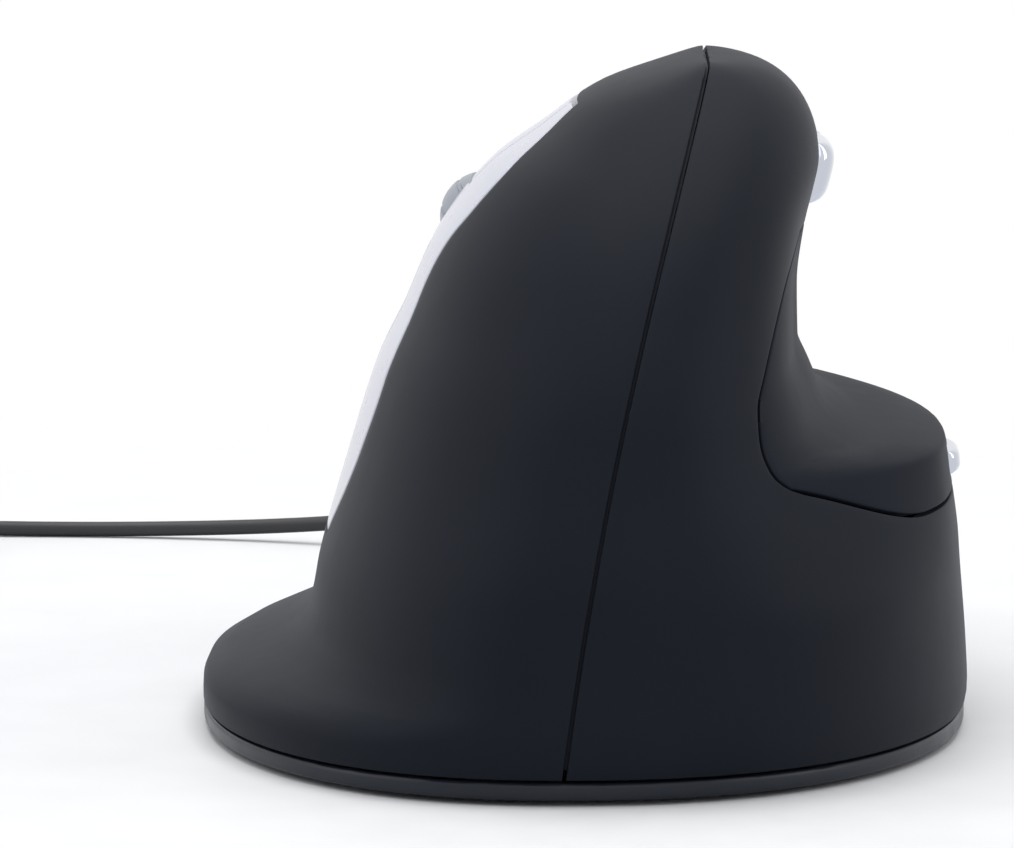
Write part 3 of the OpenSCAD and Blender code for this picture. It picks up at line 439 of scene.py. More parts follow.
soft_black = moulded(
    "soft_touch_black", grey(0.0085, 0.85), grey(0.01, 0.85), (0.49, 0.51), 5200, 0.00003,
    specular=0.06, sheen=0.06,
)
rest_black = moulded(
    "soft_touch_rest", grey(0.0085, 0.85), grey(0.01, 0.85), (0.52, 0.54), 4200, 0.00004,
    specular=0.04, sheen=0.06,
)
base_black = moulded(
    "base_satin_black", grey(0.014, 0.7), grey(0.018, 0.7), (0.3, 0.38), 3000, 0.00004, specular=0.2
)
pearl = moulded(
    "pearl_silver", (0.5, 0.51, 0.59, 1), (0.54, 0.55, 0.635, 1), (0.27, 0.29), 9000, 0.000002, 0.05, 0.3
)
bright = metal("bright_chrome", (0.52, 0.55, 0.62, 1), (0.58, 0.61, 0.68, 1), (0.05, 0.07), 900, 0.000002)
wheel_grey = moulded("wheel_grey", grey(0.26, 0.2), grey(0.3, 0.2), (0.34, 0.38), 4000, 0.000004)
wheel_rubber = moulded("wheel_rubber", grey(0.05, 0.1), grey(0.07, 0.1), (0.5, 0.62), 3500, 0.00003)
inner_grey = moulded("inner_grey", grey(0.1, 0.1), grey(0.13, 0.1), (0.42, 0.55), 2400, 0.00003)
steel = metal("drawn_steel", grey(0.52), grey(0.6), (0.24, 0.34), 1800, 0.00001)
switch_black = moulded("switch_black", grey(0.012), grey(0.018), (0.34, 0.45), 2600, 0.00002)
board_green = moulded(
    "board_green", (0.01, 0.07, 0.03, 1), (0.015, 0.1, 0.045, 1), (0.22, 0.32), 1500, 0.00002
)
ivory = moulded("connector_ivory", (0.7, 0.66, 0.55, 1), (0.76, 0.72, 0.62, 1), (0.38, 0.5), 2000, 0.00002)
wire_red = moulded("wire_red", (0.3, 0.03, 0.025, 1), (0.36, 0.04, 0.03, 1), (0.4, 0.5), 2000, 0.00002)
cord_black = moulded("cord_black", grey(0.011, 0.2), grey(0.015, 0.2), (0.38, 0.48), 3200, 0.00003)
glide_grey = moulded("glide_grey", grey(0.03, 0.1), grey(0.04, 0.1), (0.24, 0.36), 1600, 0.00002)
tongue_white = moulded("tongue_white", grey(0.78), grey(0.84), (0.4, 0.5), 2000, 0.00002)
lens_clear = moulded("lens_clear", (0.7, 0.76, 0.8, 1), (0.76, 0.82, 0.85, 1), (0.05, 0.1), 1200, 0.00001)
lens_shader = lens_clear.node_tree.nodes["Principled BSDF"]
lens_shader.inputs["Transmission Weight"].default_value = LENS_CLEAR


# Making and placing pieces
def finish_piece(name, bm, material, body, slot, replaced=()):
    mesh = bpy.data.meshes.new(name)
    bm.to_mesh(mesh)
    bm.free()
    mesh.materials.append(material)
    piece = bpy.data.objects.new(name, mesh)
    bpy.context.scene.collection.objects.link(piece)
    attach(piece, body)
    if replaced:
        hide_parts(*replaced)
    return piece


def shade(bm, sharp=40):
    limit = math.radians(sharp)
    for face in bm.faces:
        face.smooth = True
    for edge in bm.edges:
        edge.smooth = len(edge.link_faces) == 2 and edge.calc_face_angle(0) < limit


def soften(bm, edges, width, segments=3):
    bmesh.ops.bevel(
        bm, geom=edges, offset=width, offset_type="OFFSET", segments=segments, profile=0.5,
        affect="EDGES", clamp_overlap=False, material=-1,
    )


# Cord: the route's points and the coil's formula are those of the part's source
CORD_R = CORD_D / 2
SEAT_GAP = 0.3
TIE_T = 0.6
COLLAR_Y = BODY_L / 2 + 0.3
COLLAR_T = 1.4
RELIEF_L = 12
RELIEF_FRONT = COLLAR_Y + COLLAR_T + RELIEF_L
EXIT_X = lean(CORD_Z)
COIL_X = -101
COIL_Y = 110
COIL_STEP = 2.6
COIL_INNER_R = 4.8
LAYER_TURNS = 4.5
CLIMB_TURNS = 0.5
COIL_TURNS = 19.25
LOOP_POINTS = 24
ROUTE_STEPS = 3
LEAD_STEPS = 2
CORD_SMOOTH = 3
CORD_ROUND = 4
COIL_OUTER_R = COIL_INNER_R + LAYER_TURNS * COIL_STEP
COIL_LOW = TIE_T + SEAT_GAP + CORD_R
LAYER_PERIOD = LAYER_TURNS + CLIMB_TURNS
GRIP_L = 24
GRIP_T = 7.6
GRIP_W = 12
LEAD_DROP = 24
PLUG_Z = GRIP_T / 2
CORD_ROUTE = [
    (EXIT_X, RELIEF_FRONT, CORD_Z),
    (EXIT_X, RELIEF_FRONT + 5, CORD_Z - 0.1),
    (EXIT_X - 0.6, RELIEF_FRONT + 12, CORD_Z - 0.9),
    (-4, 97, 8.8),
    (-11, 107, 6.2),
    (-22, 115.5, 3.8),
    (-36, 121.5, 2),
    (-52, 125, 1.1),
    (-68, 126.2, 0.95),
    (-84, COIL_Y + COIL_OUTER_R, 1.3),
    (-94, COIL_Y + COIL_OUTER_R, COIL_LOW),
    (COIL_X + CORD_D, COIL_Y + COIL_OUTER_R, COIL_LOW),
]


def blend_point(a, b, c, d, u):
    """Point on a smooth curve from b to c, with the neighbours a and d."""
    square = 2 * a - 5 * b + 4 * c - d
    cube = 3 * b - a - 3 * c + d
    return 0.5 * (2 * b + (c - a) * u + square * u ** 2 + cube * u ** 3)


def smooth_route(route, n):
    points = [Vector(p) for p in route]
    last = len(points) - 1
    made = []
    for i in range(last):
        before = points[max(i - 1, 0)]
        after = points[min(i + 2, last)]
        made += [blend_point(before, points[i], points[i + 1], after, k / n) for k in range(n)]
    return made + [points[last]]


def coil_point(s):
    layer = math.floor(s / LAYER_PERIOD)
    run = s - LAYER_PERIOD * layer
    spiral = COIL_STEP * min(run, LAYER_TURNS)
    r = COIL_OUTER_R - spiral if layer % 2 == 0 else COIL_INNER_R + spiral
    z = COIL_LOW + COIL_STEP * (layer + smooth((run - LAYER_TURNS) / CLIMB_TURNS))
    turn = math.radians(90 + 360 * s)
    return Vector((COIL_X + r * math.cos(turn), COIL_Y + r * math.sin(turn), z))


coil_end = coil_point(COIL_TURNS)
grip_y = coil_end.y - LEAD_DROP
plug_y = grip_y - GRIP_L
LEAD_ROUTE = [
    coil_end - Vector((0, CORD_D, 0)),
    coil_end - Vector((0, 2 * CORD_D, 0)),
    coil_end - Vector((0, 6, 0.5)),
    (coil_end.x, coil_end.y - 11, 6.6),
    (coil_end.x, coil_end.y - 17, 4.6),
    (coil_end.x, grip_y + 2 * CORD_D, PLUG_Z),
    (coil_end.x, grip_y + CORD_D, PLUG_Z),
    (coil_end.x, grip_y, PLUG_Z),
]
coil_points = [coil_point(i / LOOP_POINTS) for i in range(int(COIL_TURNS * LOOP_POINTS) + 1)]
cord_points = smooth_route(CORD_ROUTE, ROUTE_STEPS) + coil_points + smooth_route(LEAD_ROUTE, LEAD_STEPS)

cord_curve = bpy.data.curves.new("mouse_cord_line", "CURVE")
cord_curve.dimensions = "3D"
cord_curve.resolution_u = CORD_SMOOTH
cord_curve.bevel_depth = CORD_R * MM
cord_curve.bevel_resolution = CORD_ROUND
cord_curve.use_fill_caps = True
cord_line = cord_curve.splines.new("BEZIER")
cord_line.bezier_points.add(len(cord_points) - 1)
for knot, point in zip(cord_line.bezier_points, cord_points):
    knot.co = point * MM
    knot.handle_left_type = "AUTO"
    knot.handle_right_type = "AUTO"
cord_curve.materials.append(cord_black)
cord = bpy.data.objects.new("mouse_cord_line", cord_curve)
bpy.context.scene.collection.objects.link(cord)
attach(cord, "housing")
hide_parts("mouse_cord", "cord_coil", "plug_lead")


# Covers: sheets on the body's surface with openings, a wall and softened rims
RIM_ROOM = 1.1
PILLOW_ROWS = 24
PILLOW_COLS = 36
PILLOW_RIM = 0.1


def sheet(rows, cols, openings=()):
    bm = bmesh.new()
    bmesh.ops.create_grid(bm, x_segments=cols, y_segments=rows, size=0.5)
    gone = []
    for face in bm.faces:
        middle = face.calc_center_median()
        i = math.floor((middle.y + 0.5) * rows)
        j = math.floor((middle.x + 0.5) * cols)
        if any(r0 <= i < r1 and c0 <= j < c1 for r0, r1, c0, c1 in openings):
            gone.append(face)
    bmesh.ops.delete(bm, geom=gone, context="FACES")
    return bm


def shell_of(bm, side, depth, rim):
    """Gives a mapped sheet its wall and softens the outer rim."""
    turn = bm.verts.layers.float["turn"]
    height = bm.verts.layers.float["height"]
    borders = [edge for edge in bm.edges if edge.is_boundary]
    room = {edge: min(near.calc_length() for near in edge.link_faces[0].edges) for edge in borders}
    made = bmesh.ops.extrude_face_region(bm, geom=list(bm.faces), use_keep_orig=True)
    for item in made["geom"]:
        if isinstance(item, bmesh.types.BMVert):
            item.co = inset(side, item[turn], item[height], depth)
    bmesh.ops.recalc_face_normals(bm, faces=bm.faces)
    soften(bm, [edge for edge in borders if room[edge] > RIM_ROOM * rim], rim)
    bmesh.ops.scale(bm, vec=(MM, MM, MM), verts=bm.verts)
    shade(bm)


def cover(name, side, heights, angles, depth, openings, rim, look):
    rows = len(heights) - 1
    turns = [angles(z) for z in heights]
    cols = len(turns[0]) - 1
    bm = sheet(rows, cols, openings)
    turn = bm.verts.layers.float.new("turn")
    height = bm.verts.layers.float.new("height")
    for vert in bm.verts:
        i = round((vert.co.y + 0.5) * rows)
        j = round((vert.co.x + 0.5) * cols)
        vert[turn] = turns[i][j]
        vert[height] = climb(turns[i][j], heights[i]) if side > 0 else heights[i]
        vert.co = body_point(side, vert[turn], vert[height])
    shell_of(bm, side, depth, rim)
    return finish_piece(name, bm, *look)


def crown(u):
    return math.sqrt(max(1 - (2 * u - 1) ** 4, 0))


def eased(t):
    return 0.5 - 0.5 * math.cos(math.pi * t)


def pillow(name, low, high, start, end, bulge, look):
    bm = sheet(PILLOW_ROWS, PILLOW_COLS)
    turn = bm.verts.layers.float.new("turn")
    height = bm.verts.layers.float.new("height")
    for vert in bm.verts:
        u = eased(vert.co.x + 0.5)
        w = eased(vert.co.y + 0.5)
        vert[turn] = mix(start, end, u)
        vert[height] = mix(low, high, w)
        vert.co = inset(THUMB_SIDE, vert[turn], vert[height], -bulge * crown(u) * crown(w))
    shell_of(bm, THUMB_SIDE, CAP_WALL, PILLOW_RIM)
    return finish_piece(name, bm, *look)


PALM_FOOT_ROWS = 5
RELIEF_ROWS = 8
PALM_MID_ROWS = 8
PANEL_ROWS = 56
CLOSING_ROWS = 14
PALM_REAR_COLS = 40
PANEL_REAR_COLS = 10
PANEL_FRONT_COLS = 24
PALM_FRONT_COLS = 14
SHELL_RIM = 0.18
palm_heights = (
    span(SHELL_FOOT, RELIEF_LOW, PALM_FOOT_ROWS)
    + span(RELIEF_LOW, RELIEF_HIGH, RELIEF_ROWS)
    + span(RELIEF_HIGH, PANEL_Z, PALM_MID_ROWS)
    + span(PANEL_Z, INDEX_TOP_Z, PANEL_ROWS)
    + closing_heights(INDEX_TOP_Z, CLOSING_ROWS)
)


def palm_angles(z):
    p = curve(PANEL_BORDER, z)
    r = relief_angle(FINGER_SIDE, z)
    return (
        span(-90, p, PALM_REAR_COLS)
        + span(p, 0, PANEL_REAR_COLS)
        + span(0, PANEL_END, PANEL_FRONT_COLS)
        + span(PANEL_END, r, PALM_FRONT_COLS)
        + [r, 90]
    )


panel_row = PALM_FOOT_ROWS + RELIEF_ROWS + PALM_MID_ROWS
palm_last_col = PALM_REAR_COLS + PANEL_REAR_COLS + PANEL_FRONT_COLS + PALM_FRONT_COLS
palm_openings = [
    (panel_row, panel_row + PANEL_ROWS, PALM_REAR_COLS, palm_last_col - PALM_FRONT_COLS),
    (PALM_FOOT_ROWS, PALM_FOOT_ROWS + RELIEF_ROWS, palm_last_col, palm_last_col + 1),
]
cover(
    "palm_shell_skin", FINGER_SIDE, palm_heights, palm_angles, WALL, palm_openings, SHELL_RIM,
    (soft_black, "housing", "soft_black", ["palm_shell"]),
)

THUMB_FOOT_ROWS = 5
THUMB_MID_ROWS = 10
SHELF_ROWS = 12
SCOOP_ROWS = 26
NOTCH_ROWS = 22
BROW_ROWS = 3
THUMB_CLOSING_ROWS = 20
SHELF_EDGE_Z = SHELF_H - 3.6
SHELF_TURN_Z = SHELF_H + 4.5
BRIGHT_ROWS = 12
THUMB_REAR_COLS = 30
REST_REAR_COLS = 22
BRIGHT_COLS = 20
REST_FRONT_COLS = 14
THUMB_FRONT_COLS = 12
thumb_heights = (
    span(SHELL_FOOT, RELIEF_LOW, THUMB_FOOT_ROWS)
    + span(RELIEF_LOW, RELIEF_HIGH, RELIEF_ROWS)
    + span(RELIEF_HIGH, REST_Z, THUMB_MID_ROWS)
    + span(REST_Z, SHELF_EDGE_Z, SHELF_ROWS)
    + span(SHELF_EDGE_Z, SHELF_TURN_Z, SCOOP_ROWS)
    + span(SHELF_TURN_Z, REST_TOP_Z, NOTCH_ROWS)
    + span(REST_TOP_Z, BRIGHT_Z, BROW_ROWS)
    + span(BRIGHT_Z, BRIGHT_TOP_Z, BRIGHT_ROWS)
    + closing_heights(BRIGHT_TOP_Z, THUMB_CLOSING_ROWS)
)


def thumb_angles(z):
    p = curve(REST_BORDER, z)
    r = relief_angle(THUMB_SIDE, z)
    return (
        span(-90, p, THUMB_REAR_COLS)
        + span(p, BRIGHT_START, REST_REAR_COLS)
        + span(BRIGHT_START, BRIGHT_END, BRIGHT_COLS)
        + span(BRIGHT_END, REST_END, REST_FRONT_COLS)
        + span(REST_END, r, THUMB_FRONT_COLS)
        + [r, 90]
    )


rest_row = THUMB_FOOT_ROWS + RELIEF_ROWS + THUMB_MID_ROWS
rest_rows = SHELF_ROWS + SCOOP_ROWS + NOTCH_ROWS
bright_row = rest_row + rest_rows + BROW_ROWS
bright_col = THUMB_REAR_COLS + REST_REAR_COLS
rest_end_col = bright_col + BRIGHT_COLS + REST_FRONT_COLS
thumb_last_col = rest_end_col + THUMB_FRONT_COLS
thumb_openings = [
    (rest_row, rest_row + rest_rows, THUMB_REAR_COLS, rest_end_col),
    (bright_row, bright_row + BRIGHT_ROWS, bright_col, bright_col + BRIGHT_COLS),
    (THUMB_FOOT_ROWS, THUMB_FOOT_ROWS + RELIEF_ROWS, thumb_last_col, thumb_last_col + 1),
]
cover(
    "thumb_shell_skin", THUMB_SIDE, thumb_heights, thumb_angles, WALL, thumb_openings, SHELL_RIM,
    (soft_black, "housing", "soft_black", ["thumb_shell"]),
)

SPEED_ROWS = 12
SPEED_COLS = 8
REST_BACK_COLS = 26
REST_AHEAD_COLS = 30
rest_heights = (
    [REST_Z + SEAM_GAP]
    + span(SPEED_Z, SPEED_TOP_Z, SPEED_ROWS)
    + span(SPEED_TOP_Z, SHELF_TURN_Z, SCOOP_ROWS)
    + span(SHELF_TURN_Z, REST_TOP_Z - SEAM_GAP, NOTCH_ROWS)
    + [REST_TOP_Z - SEAM_GAP]
)


def rest_angles(z):
    return (
        span(curve(REST_BORDER, z) + EDGE_TURN, SPEED_START, REST_BACK_COLS)
        + span(SPEED_START, SPEED_END, SPEED_COLS)
        + span(SPEED_END, REST_END - EDGE_TURN, REST_AHEAD_COLS)
        + [REST_END - EDGE_TURN]
    )


cover(
    "thumb_rest_skin", THUMB_SIDE, rest_heights, rest_angles, WALL,
    [(1, 1 + SPEED_ROWS, REST_BACK_COLS, REST_BACK_COLS + SPEED_COLS)], SHELL_RIM,
    (rest_black, "housing", "rest_black", ["thumb_rest"]),
)

# Lip in the gap between the two shells, a little below their surface
LIP_SINK = 0.5
LIP_T = 1
LIP_PLAY = 0.03
lip_heights = span(SHELL_FOOT + LIP_T, INDEX_TOP_Z, PANEL_ROWS) + closing_heights(INDEX_TOP_Z, CLOSING_ROWS)
lip_path = [Vector((0, -end_reach(REAR_PROFILE, z), z)) for z in lip_heights]
lip_front = [z for z in reversed(lip_heights) if z > RELIEF_HIGH + LIP_T]
lip_path += [Vector((0, end_reach(FRONT_PROFILE, z), z)) for z in lip_front]
lip_last = len(lip_path) - 1
lip_sheet = sheet(lip_last, 1)
lip_row = lip_sheet.verts.layers.int.new("row")
for vert in lip_sheet.verts:
    vert[lip_row] = round((vert.co.y + 0.5) * lip_last)


def lip_place(row, across, depth):
    step = lip_path[min(row + 1, lip_last)] - lip_path[max(row - 1, 0)]
    spot = lip_path[row] + depth * Vector((0, step.z, -step.y)).normalized()
    return Vector((lean(spot.z) + across * (SEAM_GAP / 2 - LIP_PLAY), spot.y, spot.z))


lip_under = bmesh.ops.extrude_face_region(lip_sheet, geom=list(lip_sheet.faces), use_keep_orig=True)
lip_inner = {item for item in lip_under["geom"] if isinstance(item, bmesh.types.BMVert)}
for vert in lip_sheet.verts:
    depth = LIP_SINK + LIP_T if vert in lip_inner else LIP_SINK
    vert.co = lip_place(vert[lip_row], math.copysign(1, vert.co.x), depth)
bmesh.ops.recalc_face_normals(lip_sheet, faces=lip_sheet.faces)
bmesh.ops.scale(lip_sheet, vec=(MM, MM, MM), verts=lip_sheet.verts)
shade(lip_sheet)
finish_piece("seam_lip", lip_sheet, soft_black, "housing", "soft_black")


# Scroll wheel's size and the slot that it needs
WHEEL_D = 21
WHEEL_W = 6
WHEEL_PROUD = 1.7
WHEEL_SET = 42
WHEEL_R = WHEEL_D / 2
TYRE_T = 2.2
CROWN_R = 4.6
HUB_R = WHEEL_R - TYRE_T
wheel_y = BODY_L / 2 - WHEEL_SET
wheel_open = math.sqrt(WHEEL_R ** 2 - (WHEEL_R - WHEEL_PROUD - WALL) ** 2) + 2 * PRESS_GAP
trim_mid_z = (TRIM_Z + INDEX_Z) / 2


def angle_at(y, z):
    return math.degrees(math.asin((y / end_reach(FRONT_PROFILE, z)) ** (SQUARENESS / 2)))


# Silver covers on the finger side: a panel round the two buttons, the buttons and the trim ahead of the wheel
BUTTON_START = 2
BUTTON_GAP = 0.5
STRIP_END = BUTTON_START - BUTTON_GAP / 2
CAP_START = BUTTON_START + BUTTON_GAP / 2
CAP_END = PANEL_END - 2 * EDGE_TURN
PANEL_FRONT = PANEL_END - EDGE_TURN
HALF_GAP = PRESS_GAP / 2
TRIM_LOW = TRIM_Z + HALF_GAP
TRIM_HIGH = INDEX_Z - HALF_GAP
PANEL_TOP = MIDDLE_Z - HALF_GAP
PANEL_LOW_ROWS = 30
MIDDLE_ROWS = 16
TRIM_ROWS = 10
INDEX_ROWS = 14
STRIP_COLS = 16
TONGUE_COLS = 6
CAP_COLS = 28
slot_start = angle_at(wheel_y - wheel_open, trim_mid_z)
slot_end = angle_at(wheel_y + wheel_open, trim_mid_z)
panel_heights = (
    span(PANEL_Z + SEAM_GAP, PANEL_TOP, PANEL_LOW_ROWS)
    + span(PANEL_TOP, TRIM_LOW, MIDDLE_ROWS)
    + span(TRIM_LOW, TRIM_HIGH, TRIM_ROWS)
    + span(TRIM_HIGH, INDEX_TOP_Z - SEAM_GAP, INDEX_ROWS)
    + [INDEX_TOP_Z - SEAM_GAP]
)


def panel_angles(z):
    return (
        span(curve(PANEL_BORDER, z) + EDGE_TURN, STRIP_END, STRIP_COLS)
        + span(STRIP_END, slot_start, TONGUE_COLS)
        + span(slot_start, PANEL_FRONT, CAP_COLS)
        + [PANEL_FRONT]
    )


panel_trim_row = PANEL_LOW_ROWS + MIDDLE_ROWS
panel_index_row = panel_trim_row + TRIM_ROWS
panel_last_col = STRIP_COLS + TONGUE_COLS + CAP_COLS
panel_openings = [
    (PANEL_LOW_ROWS, panel_trim_row, STRIP_COLS, panel_last_col),
    (panel_trim_row, panel_index_row, STRIP_COLS + TONGUE_COLS, panel_last_col),
    (panel_index_row, panel_index_row + INDEX_ROWS, STRIP_COLS, panel_last_col),
]


def silver_cover(name, heights, angles, openings, body, node):
    look = (pearl, body, "silver_gloss", [node])
    return cover(name, FINGER_SIDE, heights, angles, CAP_WALL, openings, SHELL_RIM, look)


def level_strip(low, high, rows, start, end, cols):
    """Heights and angles of a cover with straight ends."""
    turns = span(start, end, cols) + [end]
    return span(low, high, rows) + [high], lambda z: turns


silver_cover("finger_panel_skin", panel_heights, panel_angles, panel_openings, "housing", "finger_panel")
silver_cover(
    "middle_cap_skin",
    *level_strip(MIDDLE_Z + HALF_GAP, TRIM_Z - HALF_GAP, MIDDLE_ROWS, CAP_START, CAP_END, CAP_COLS),
    (), "middle_button", "middle_cap",
)
silver_cover(
    "index_cap_skin",
    *level_strip(INDEX_Z + HALF_GAP, INDEX_TOP_Z - PRESS_GAP, INDEX_ROWS, CAP_START, CAP_END, CAP_COLS),
    (), "index_button", "index_cap",
)
silver_cover(
    "wheel_trim_skin",
    *level_strip(TRIM_LOW, TRIM_HIGH, TRIM_ROWS, slot_end, PANEL_FRONT, CAP_COLS),
    (), "housing", "wheel_trim",
)


# Scroll wheel: its axle lies up the slope of the trim
wheel_turn = angle_at(wheel_y, trim_mid_z)
trim_low_point = body_point(FINGER_SIDE, wheel_turn, TRIM_Z)
trim_high_point = body_point(FINGER_SIDE, wheel_turn, INDEX_Z)
trim_slope = trim_high_point - trim_low_point
trim_front = body_point(FINGER_SIDE, wheel_turn + TURN_STEP, trim_mid_z)
trim_rear = body_point(FINGER_SIDE, wheel_turn - TURN_STEP, trim_mid_z)
wheel_ahead = (trim_front - trim_rear).normalized()
wheel_axis = (trim_slope - trim_slope.dot(wheel_ahead) * wheel_ahead).normalized()
wheel_out = wheel_axis.cross(wheel_ahead)
wheel_centre = (trim_low_point + trim_high_point) / 2 - (WHEEL_R - WHEEL_PROUD) * wheel_out
wheel_frame = Matrix((wheel_axis, wheel_ahead, wheel_out)).transposed().to_4x4()
wheel_frame.translation = wheel_centre


def turned(points, axis, steps, closed=True):
    """Spins a profile round an axis through the origin."""
    bm = bmesh.new()
    verts = [bm.verts.new(p) for p in points]
    pairs = list(zip(verts, verts[1:]))
    if closed:
        pairs.append((verts[-1], verts[0]))
    edges = [bm.edges.new(pair) for pair in pairs]
    bmesh.ops.spin(
        bm, geom=verts + edges, cent=(0, 0, 0), axis=axis, dvec=(0, 0, 0), angle=2 * math.pi,
        steps=steps, use_merge=True, use_duplicate=False,
    )
    bmesh.ops.recalc_face_normals(bm, faces=bm.faces)
    return bm


# Crowned ring with two fine grooves that keep a grip band between them
GROOVE_AT = 0.5
GROOVE_HALF = 0.07
GROOVE_DEEP = 0.22
CROWN_STEPS = 60
WHEEL_STEPS = 144
FINE_SHARP = 30
crown_turn = math.asin(WHEEL_W / 2 / CROWN_R)
tyre_profile = [(-WHEEL_W / 2, 0, HUB_R)]
for i in range(CROWN_STEPS + 1):
    swing = mix(-crown_turn, crown_turn, i / CROWN_STEPS)
    sunk = GROOVE_DEEP if abs(abs(swing / crown_turn) - GROOVE_AT) < GROOVE_HALF else 0
    ring_r = WHEEL_R - CROWN_R + (CROWN_R - sunk) * math.cos(swing)
    tyre_profile.append(((CROWN_R - sunk) * math.sin(swing), 0, ring_r))
tyre_profile.append((WHEEL_W / 2, 0, HUB_R))
tyre = turned(tyre_profile, (1, 0, 0), WHEEL_STEPS)
bmesh.ops.transform(tyre, matrix=wheel_frame, verts=tyre.verts)
bmesh.ops.scale(tyre, vec=(MM, MM, MM), verts=tyre.verts)
shade(tyre, FINE_SHARP)
finish_piece("wheel_tyre_ring", tyre, wheel_grey, "scroll_wheel", "wheel_grey", ["wheel_tyre"])


# Bright push buttons on the thumb side
BRIGHT_MID = (BRIGHT_START + BRIGHT_END) / 2
chrome_low = BRIGHT_Z + PRESS_GAP
chrome_high = BRIGHT_TOP_Z - PRESS_GAP
pillow(
    "back_button_pad", chrome_low, chrome_high,
    BRIGHT_START + PRESS_GAP, BRIGHT_MID - HALF_GAP, BRIGHT_BULGE,
    (bright, "back_push", "bright_button", ["back_button"]),
)
pillow(
    "forward_button_pad", chrome_low, chrome_high,
    BRIGHT_MID + HALF_GAP, BRIGHT_END - 2 * PRESS_GAP, BRIGHT_BULGE,
    (bright, "forward_push", "bright_button", ["forward_button"]),
)
pillow(
    "speed_button_pad", SPEED_Z + PRESS_GAP, SPEED_TOP_Z - PRESS_GAP,
    SPEED_START + PRESS_GAP, SPEED_END - PRESS_GAP, SPEED_BULGE,
    (bright, "speed_push", "bright_button", ["speed_button"]),
)


# Strain relief: a moulded block, a collar and a ribbed taper
RELIEF_REAR = BODY_L / 2 - WALL - 2
RELIEF_PLAY = 0.6
COLLAR_R = 5
TAPER_R = 2.6
TAPER_END_R = 1.4
RIB_COUNT = 5
RIB_DEEP = 0.35
RIB_POINTS = 8
RIB_SHARE = 0.2
RELIEF_STEPS = 48
BLOCK_RIM = 0.3
WELD = 0.001
taper_start = COLLAR_Y + COLLAR_T
relief_profile = [
    (0, COLLAR_Y, 0),
    (0, COLLAR_Y, COLLAR_R - 0.3),
    (0, COLLAR_Y + 0.3, COLLAR_R),
    (0, COLLAR_Y + COLLAR_T - 0.4, COLLAR_R),
    (0, COLLAR_Y + COLLAR_T - 0.1, COLLAR_R - 0.2),
    (0, COLLAR_Y + COLLAR_T, COLLAR_R - 0.5),
]
for i in range(RIB_COUNT * RIB_POINTS + 1):
    share = i / (RIB_COUNT * RIB_POINTS)
    dip = RIB_DEEP * smooth(math.sin(2 * math.pi * RIB_COUNT * share) - RIB_SHARE)
    relief_profile.append((0, taper_start + RELIEF_L * share, mix(TAPER_R, TAPER_END_R, share) - dip))
relief_profile.append((0, RELIEF_FRONT, 0))
relief = turned(relief_profile, (0, 1, 0), RELIEF_STEPS, False)
bmesh.ops.remove_doubles(relief, verts=relief.verts, dist=WELD)
made = bmesh.ops.create_cube(relief, size=1)
block_size = (RELIEF_W - 2 * RELIEF_PLAY, COLLAR_Y - RELIEF_REAR, RELIEF_H - 2 * RELIEF_PLAY)
bmesh.ops.scale(relief, vec=block_size, verts=made["verts"])
bmesh.ops.translate(relief, vec=(0, (RELIEF_REAR + COLLAR_Y) / 2, 0), verts=made["verts"])
block_edges = list({edge for vert in made["verts"] for edge in vert.link_edges})
soften(relief, block_edges, BLOCK_RIM)
bmesh.ops.translate(relief, vec=(EXIT_X, 0, CORD_Z), verts=relief.verts)
bmesh.ops.scale(relief, vec=(MM, MM, MM), verts=relief.verts)
shade(relief)
relief_piece = finish_piece(
    "strain_relief_boot", relief, cord_black, "housing", "cord_black", ["strain_relief"]
)


# Flat pieces: an outline with holes, filled, given a thickness and softened
def filled(outline, holes, thickness, rim):
    bm = bmesh.new()
    for loop in [outline, *holes]:
        verts = [bm.verts.new((p[0], p[1], 0)) for p in loop]
        for a, b in zip(verts, verts[1:] + verts[:1]):
            bm.edges.new((a, b))
    bmesh.ops.triangle_fill(bm, use_beauty=True, use_dissolve=False, edges=list(bm.edges))
    borders = [edge for edge in bm.edges if edge.is_boundary]
    made = bmesh.ops.extrude_face_region(bm, geom=list(bm.faces), use_keep_orig=True)
    tops = [item for item in made["geom"] if isinstance(item, bmesh.types.BMVert)]
    rims = [item for item in made["geom"] if isinstance(item, bmesh.types.BMEdge)]
    bmesh.ops.translate(bm, vec=(0, 0, thickness), verts=tops)
    bmesh.ops.recalc_face_normals(bm, faces=bm.faces)
    rims = [edge for edge in rims if edge.calc_face_angle(0) > 1]
    soften(bm, borders + rims, rim)
    return bm


def ring_of(x, y, r, n=32):
    return [(x + r * math.cos(2 * math.pi * i / n), y + r * math.sin(2 * math.pi * i / n)) for i in range(n)]


def box_loop(low, high, round_r, n=6):
    """Rectangle with rounded corners, from its low and high corners."""
    made = []
    for k, (sx, sy) in enumerate([(1, 1), (-1, 1), (-1, -1), (1, -1)]):
        cx = high[0] - round_r if sx > 0 else low[0] + round_r
        cy = high[1] - round_r if sy > 0 else low[1] + round_r
        for i in range(n + 1):
            turn = math.radians(90 * (k + i / n))
            made.append((cx + round_r * math.cos(turn), cy + round_r * math.sin(turn)))
    return made


def place_flat(bm, name, look, upright=False, at=(0, 0, 0)):
    """Lays a flat piece down at a place, or stands it up to face along the length."""
    if upright:
        bmesh.ops.rotate(bm, cent=(0, 0, 0), matrix=Matrix.Rotation(math.pi / 2, 3, "X"), verts=bm.verts)
    bmesh.ops.translate(bm, vec=at, verts=bm.verts)
    bmesh.ops.scale(bm, vec=(MM, MM, MM), verts=bm.verts)
    shade(bm, FINE_SHARP)
    return finish_piece(name, bm, *look)


